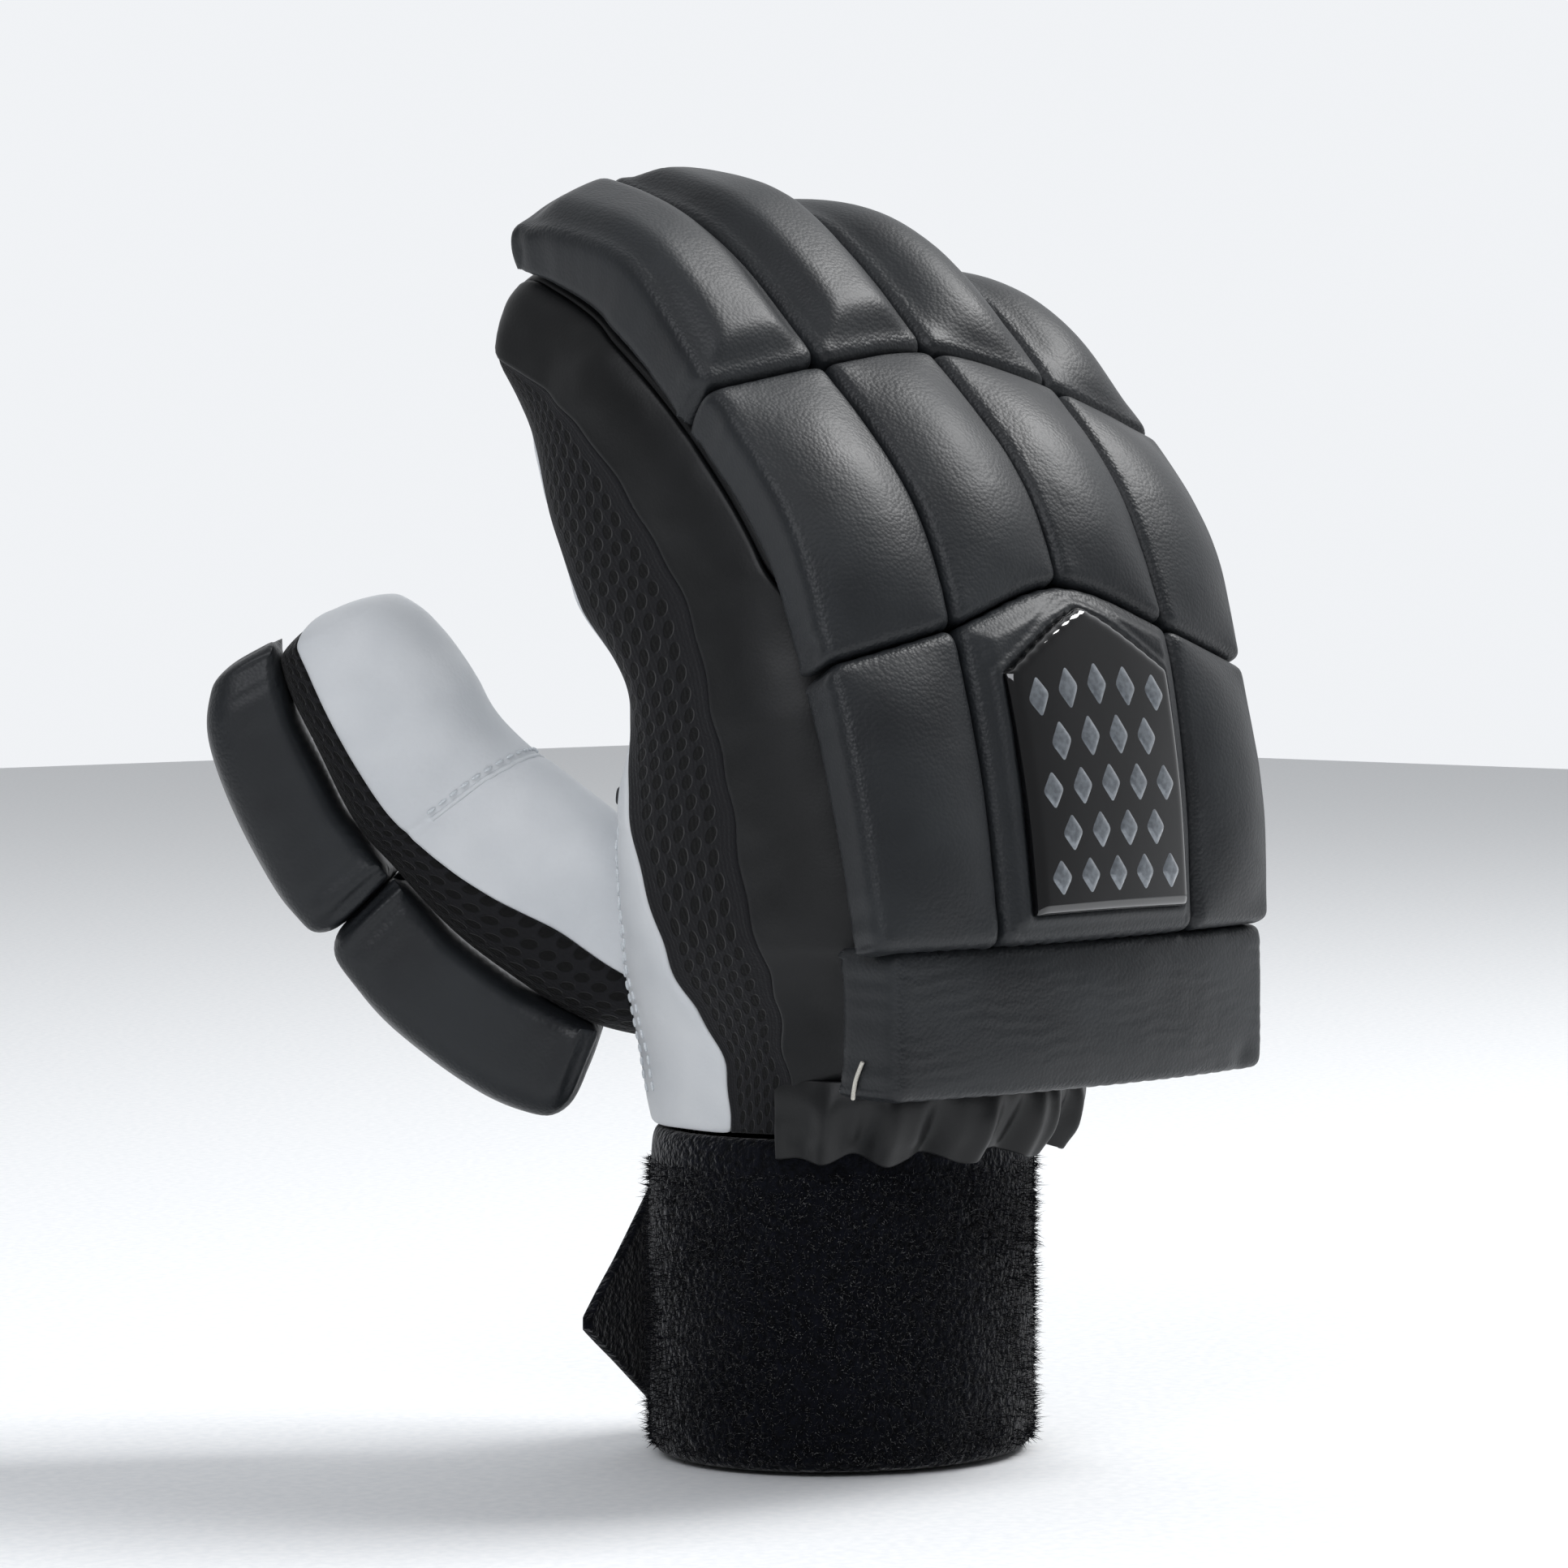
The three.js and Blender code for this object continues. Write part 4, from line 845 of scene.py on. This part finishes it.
# pile: short loose fibres all over the outside of the cuff
pile = {"count": 46000, "long": 1.5, "shortest": 0.4, "wide": 0.28, "lean": 0.7, "seed": 7,
        "lowest": 0.05, "highest": 0.47, "root": 0.3, "clear": 0.2}
rng = np.random.default_rng(pile["seed"])
turns = rng.random(pile["count"])
ups = pile["lowest"] + rng.random(pile["count"]) * (pile["highest"] - pile["lowest"])
roots = cuffPlace(turns, ups)
lean = rng.normal(size=(pile["count"], 3)) * pile["lean"]
outside = np.stack([np.cos(turns * 2 * math.pi), np.sin(turns * 2 * math.pi), 0 * turns], axis=1)
lengths = pile["shortest"] + (1 - pile["shortest"]) * rng.random((pile["count"], 1))
ends = roots + (outside + lean) * pile["long"] * lengths
ends[:, 2] = np.maximum(ends[:, 2], pile["clear"])
side = np.cross(outside + lean, rng.normal(size=(pile["count"], 3)))
side *= pile["wide"] / 2 / np.linalg.norm(side, axis=1, keepdims=True)
feet = roots - outside * pile["root"]
fibres = (np.stack([feet - side, feet + side, ends], axis=1).reshape(-1, 3) + shift) / 1000
pileMesh = bpy.data.meshes.new("cuffPile")
pileMesh.from_pydata(fibres.tolist(), [], np.arange(len(fibres)).reshape(-1, 3).tolist())
pileMesh.materials.append(towelling)
cuffPile = bpy.data.objects.new("cuffPile", pileMesh)
scene.collection.objects.link(cuffPile)
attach(cuffPile, "root")

# strap: closes the cuff on the palm side, its pointed end standing free
strap = {"from": math.radians(35), "leave": math.radians(105), "free": 37.0, "point": 28.0, "pointed": 0.97,
         "low": 7.0, "wide": 50.0, "tipAt": 0.42, "thick": 2.4, "off": 0.3}


def strapPlace(u, v):
    arc = (strap["leave"] - strap["from"]) * (glove["cuffHalfWidth"] + glove["cuffHalfDepth"]) / 2
    run = u * (arc + strap["free"])
    angle = strap["from"] + np.minimum(run / arc, 1) * (strap["leave"] - strap["from"])
    place = aroundCuff(angle, strap["off"], np.zeros(len(u)))
    way = np.array([-glove["cuffHalfWidth"] * math.sin(strap["leave"]),
                    glove["cuffHalfDepth"] * math.cos(strap["leave"]), 0])
    place = place + way / np.linalg.norm(way) * np.maximum(run - arc, 0)[:, None]
    toPoint = np.clip((run - arc - strap["free"] + strap["point"]) / strap["point"], 0, 1)
    narrow = 1 - toPoint * strap["pointed"]
    tip = strap["low"] + strap["tipAt"] * strap["wide"]
    full = strap["low"] + v * strap["wide"]
    place[:, 2] = tip + (full - tip) * narrow
    return place


sheetPiece("cuffStrap", 60, 24, strapPlace, towelling, ["cuff_strap"],
           {"inside": (0, 0, 32), "wall": -strap["thick"], "held": "laid", "restsOn": ["cuffTowelling"],
            "relief": lambda u, v, points: 0.3 * ripple(points, 12, 18)})

# skirt: leather gathered under the roll
skirtRows = {"at": np.array([0, 1 / 3, 2 / 3, 1]), "z": np.array([0.3, 0.28, 0.258, 0.238]),
             "off": np.array([8.2, 9.6, 8.0, 4.4]), "ripple": np.array([0, 0.5, 1, 1.0])}
skirtForm = {"from": math.radians(-152), "to": math.radians(-22), "folds": 7, "fold": 2.1, "smalls": 17,
             "small": 0.7, "scallop": 1.3, "off": 1.8, "ends": 6}


def skirtPlace(u, v):
    start, end = skirtForm["from"], skirtForm["to"]
    z = readRows(skirtRows["at"], skirtRows["z"], v) * glove["height"]
    off = readRows(skirtRows["at"], skirtRows["off"], v)
    depth = readRows(skirtRows["at"], skirtRows["ripple"], v)
    fold = np.cos(2 * math.pi * skirtForm["folds"] * u + 1.2 * np.sin(7 * u) + 1.1 * v)
    small = np.sin(2 * math.pi * skirtForm["smalls"] * u + 2.4 * v + 1.5 * np.sin(9 * u))
    fade = np.clip(skirtForm["ends"] * np.minimum(u, 1 - u), 0, 1)
    ripples = (skirtForm["fold"] * fold + skirtForm["small"] * small) * depth * fade
    reach = off * (0.15 + 0.85 * fade) + ripples + skirtForm["off"]
    z = z - skirtForm["scallop"] * fold * depth * fade * v
    return aroundCuff(start + (end - start) * u, reach, z)


sheetPiece("wristSkirt", 150, 26, skirtPlace, shadedPlainLeather, ["wrist_skirt"],
           {"inside": (0, 0, 75), "held": "gathered", "restsOn": ["cuffTowelling"],
            "relief": lambda u, v, points: 0.3 * ripple(points, 5, 23)})
print("cuff, strap and skirt made")


# sewing: stitches and cords are set on the vertices kept in surfaces
def onSurface(name, spot):  # the place on a piece nearest to a spot in mm, and the way out of it
    verts, normals = surfaces[name]
    spot = (spot + shift) / 1000
    near = np.argmin(((verts - spot) ** 2).sum(axis=1))
    normal = normals[near]
    return Vector(spot - normal * np.dot(spot - verts[near], normal)), Vector(normal)


def sewnRow(name, on, path, sewing):  # single stitches lying along a path on a piece
    gaps = np.concatenate([[0], np.cumsum(np.linalg.norm(np.diff(path, axis=0), axis=1))])
    places = np.arange(sewing["pitch"] / 2, gaps[-1], sewing["pitch"])
    spots = np.stack([np.interp(places, gaps, path[:, i]) for i in range(3)], axis=1)
    ahead = np.stack([np.interp(places + 0.5, gaps, path[:, i]) for i in range(3)], axis=1)
    bm = bmesh.new()
    for spot, nextSpot in zip(spots, ahead):
        place, normal = onSurface(on, spot)
        way = Vector(nextSpot - spot)
        way = (way - normal * way.dot(normal)).normalized()
        turned = Matrix((way, normal.cross(way), normal)).transposed().to_4x4()
        size = Matrix.Diagonal((sewing["long"] / 1000, sewing["thick"] / 1000, sewing["thick"] / 1000, 1))
        moved = Matrix.Translation(place + normal * sewing["above"] / 1000)
        bmesh.ops.create_icosphere(bm, subdivisions=2, radius=0.5, matrix=moved @ turned @ size)
    return finishPiece(name, bm, [sewing["thread"]], [], levels=0)


def cordPiece(name, on, path, cord):  # a round cord or edge lying along a path on a piece
    curve = bpy.data.curves.new(name, "CURVE")
    curve.dimensions, curve.bevel_depth, curve.bevel_resolution = "3D", cord["thick"] / 2000, 2
    curve.use_fill_caps = True
    spline = curve.splines.new("NURBS")
    spline.points.add(len(path) - 1)
    ring = cord.get("ring", False)
    spline.use_endpoint_u, spline.use_cyclic_u, spline.order_u = not ring, ring, 3
    for point, spot in zip(spline.points, path):
        place, normal = onSurface(on, spot)
        point.co = (*(place + normal * cord["above"] / 1000), 1)
    curve.materials.append(cord["material"])
    piece = bpy.data.objects.new(name, curve)
    scene.collection.objects.link(piece)
    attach(piece, "root")
    return piece


whiteSewing = {"pitch": 3.0, "long": 2.3, "thick": 0.75, "above": 0.12, "thread": whiteThread}
threadLook = {"thick": 0.9, "above": 0.5, "material": creamThread}
eyelet = {"thick": 0.9, "above": 0.1, "material": blackThread, "ring": True, "u": 0.075, "v": 0.385,
          "halfU": 0.011, "halfV": 0.008}
seamEdge = {"thick": 1.1, "above": 0.1, "material": whiteLeather}
palmPlace, thumbPlace = handSheet(1, meshLine), thumbSheet(True)
down = np.linspace(0, 1, 40)
palmRows = [  # share across the palm at the upper and the lower end, and heights of the two ends
    {"name": "palmStitchesOuter", "across": (0.085, 0.105), "height": (0.365, 0.04)},
    {"name": "palmStitchesInner", "across": (0.070, 0.085), "height": (0.355, 0.04)},
]
for palmRow in palmRows:
    (leftU, rightU), (highV, lowV) = palmRow["across"], palmRow["height"]
    path = palmPlace(leftU + (rightU - leftU) * down, highV + (lowV - highV) * down)
    sewnRow(palmRow["name"], "palmLeather", path, whiteSewing)
across = 0.08 + 0.86 * down
seamAt = thumbSeamAt(across)
sewnRow("thumbStitches", "thumbLeather", thumbPlace(across, (seamAt - 0.13) / thumb["last"]), whiteSewing)
cordPiece("thumbSeamEdge", "thumbLeather", thumbPlace(across, (seamAt + 0.02) / thumb["last"]), seamEdge)
around = np.linspace(0, 2 * math.pi, 13)[:-1]
ringU, ringV = eyelet["u"] + eyelet["halfU"] * np.cos(around), eyelet["v"] + eyelet["halfV"] * np.sin(around)
cordPiece("palmEyelet", "palmLeather", palmPlace(ringU, ringV), eyelet)
# a loose cream thread end beside the wrist roll
threadEnd = np.array([[-54, -60, 91], [-54.5, -58.5, 88], [-54, -57.5, 85], [-54.8, -56, 82]])
cordPiece("looseThread", "wristRoll", threadEnd, threadLook)
print("sewing made")

# stage and light: a pale floor, two softboxes and a bright wall of air behind the glove
stage = {"dark": "eceef0", "light": "f4f5f6", "size": 3.0, "gap": 0.0005, "air": "f5f7fa",
         "brightWay": (0.7, 0.7, 0.1), "from": -0.2, "to": 0.7, "dim": 0.2, "bright": 0.96,
         "middle": (0, 0, 0.14), "lampAway": 1.1}
bm = bmesh.new()
bmesh.ops.create_grid(bm, x_segments=1, y_segments=1, size=stage["size"])
floorMesh = bpy.data.meshes.new("floor")
bm.to_mesh(floorMesh)
bm.free()
floorMesh.materials.append(plainMaterial("palePaper", stage["dark"], stage["light"], 400.0, 0.9, 0.00002))
floor = bpy.data.objects.new("floor", floorMesh)
floor.location.z = -stage["gap"]
scene.collection.objects.link(floor)

lights = [  # a way to the light from the glove, its size in metres, its power and its tint
    {"way": (0.95, -0.5, 1.5), "size": 0.8, "power": 34, "tint": "ffffff"},
    {"way": (-1.2, -0.6, 1.0), "size": 1.0, "power": 12, "tint": "f8faff"},
]
for number, light in enumerate(lights):
    data = bpy.data.lights.new(f"softbox{number}", "AREA")
    data.size, data.energy, data.color = light["size"], light["power"], hexColor(light["tint"])[:3]
    lamp = bpy.data.objects.new(f"softbox{number}", data)
    away = Vector(light["way"])
    lamp.location = Vector(stage["middle"]) + away * stage["lampAway"]
    lamp.rotation_mode = "QUATERNION"
    lamp.rotation_quaternion = (-away).to_track_quat("-Z", "Y")
    scene.collection.objects.link(lamp)
world = bpy.data.worlds.new("studio")
world.use_nodes = True
world.node_tree.nodes["Background"].inputs["Color"].default_value = hexColor(stage["air"])
air = world.node_tree
skyWay = addNode(air, "TexCoord").outputs["Generated"]
facing = addNode(air, "VectorMath", {"operation": "DOT_PRODUCT"}, {0: skyWay, 1: stage["brightWay"]})
glow = addNode(air, "MapRange", {"interpolation_type": "SMOOTHSTEP"},
               {"Value": facing.outputs["Value"], "From Min": stage["from"], "From Max": stage["to"],
                "To Min": stage["dim"], "To Max": stage["bright"]})
air.links.new(glow.outputs[0], air.nodes["Background"].inputs["Strength"])
scene.world = world
scene.view_settings.view_transform = "Standard"
print("stage lit")
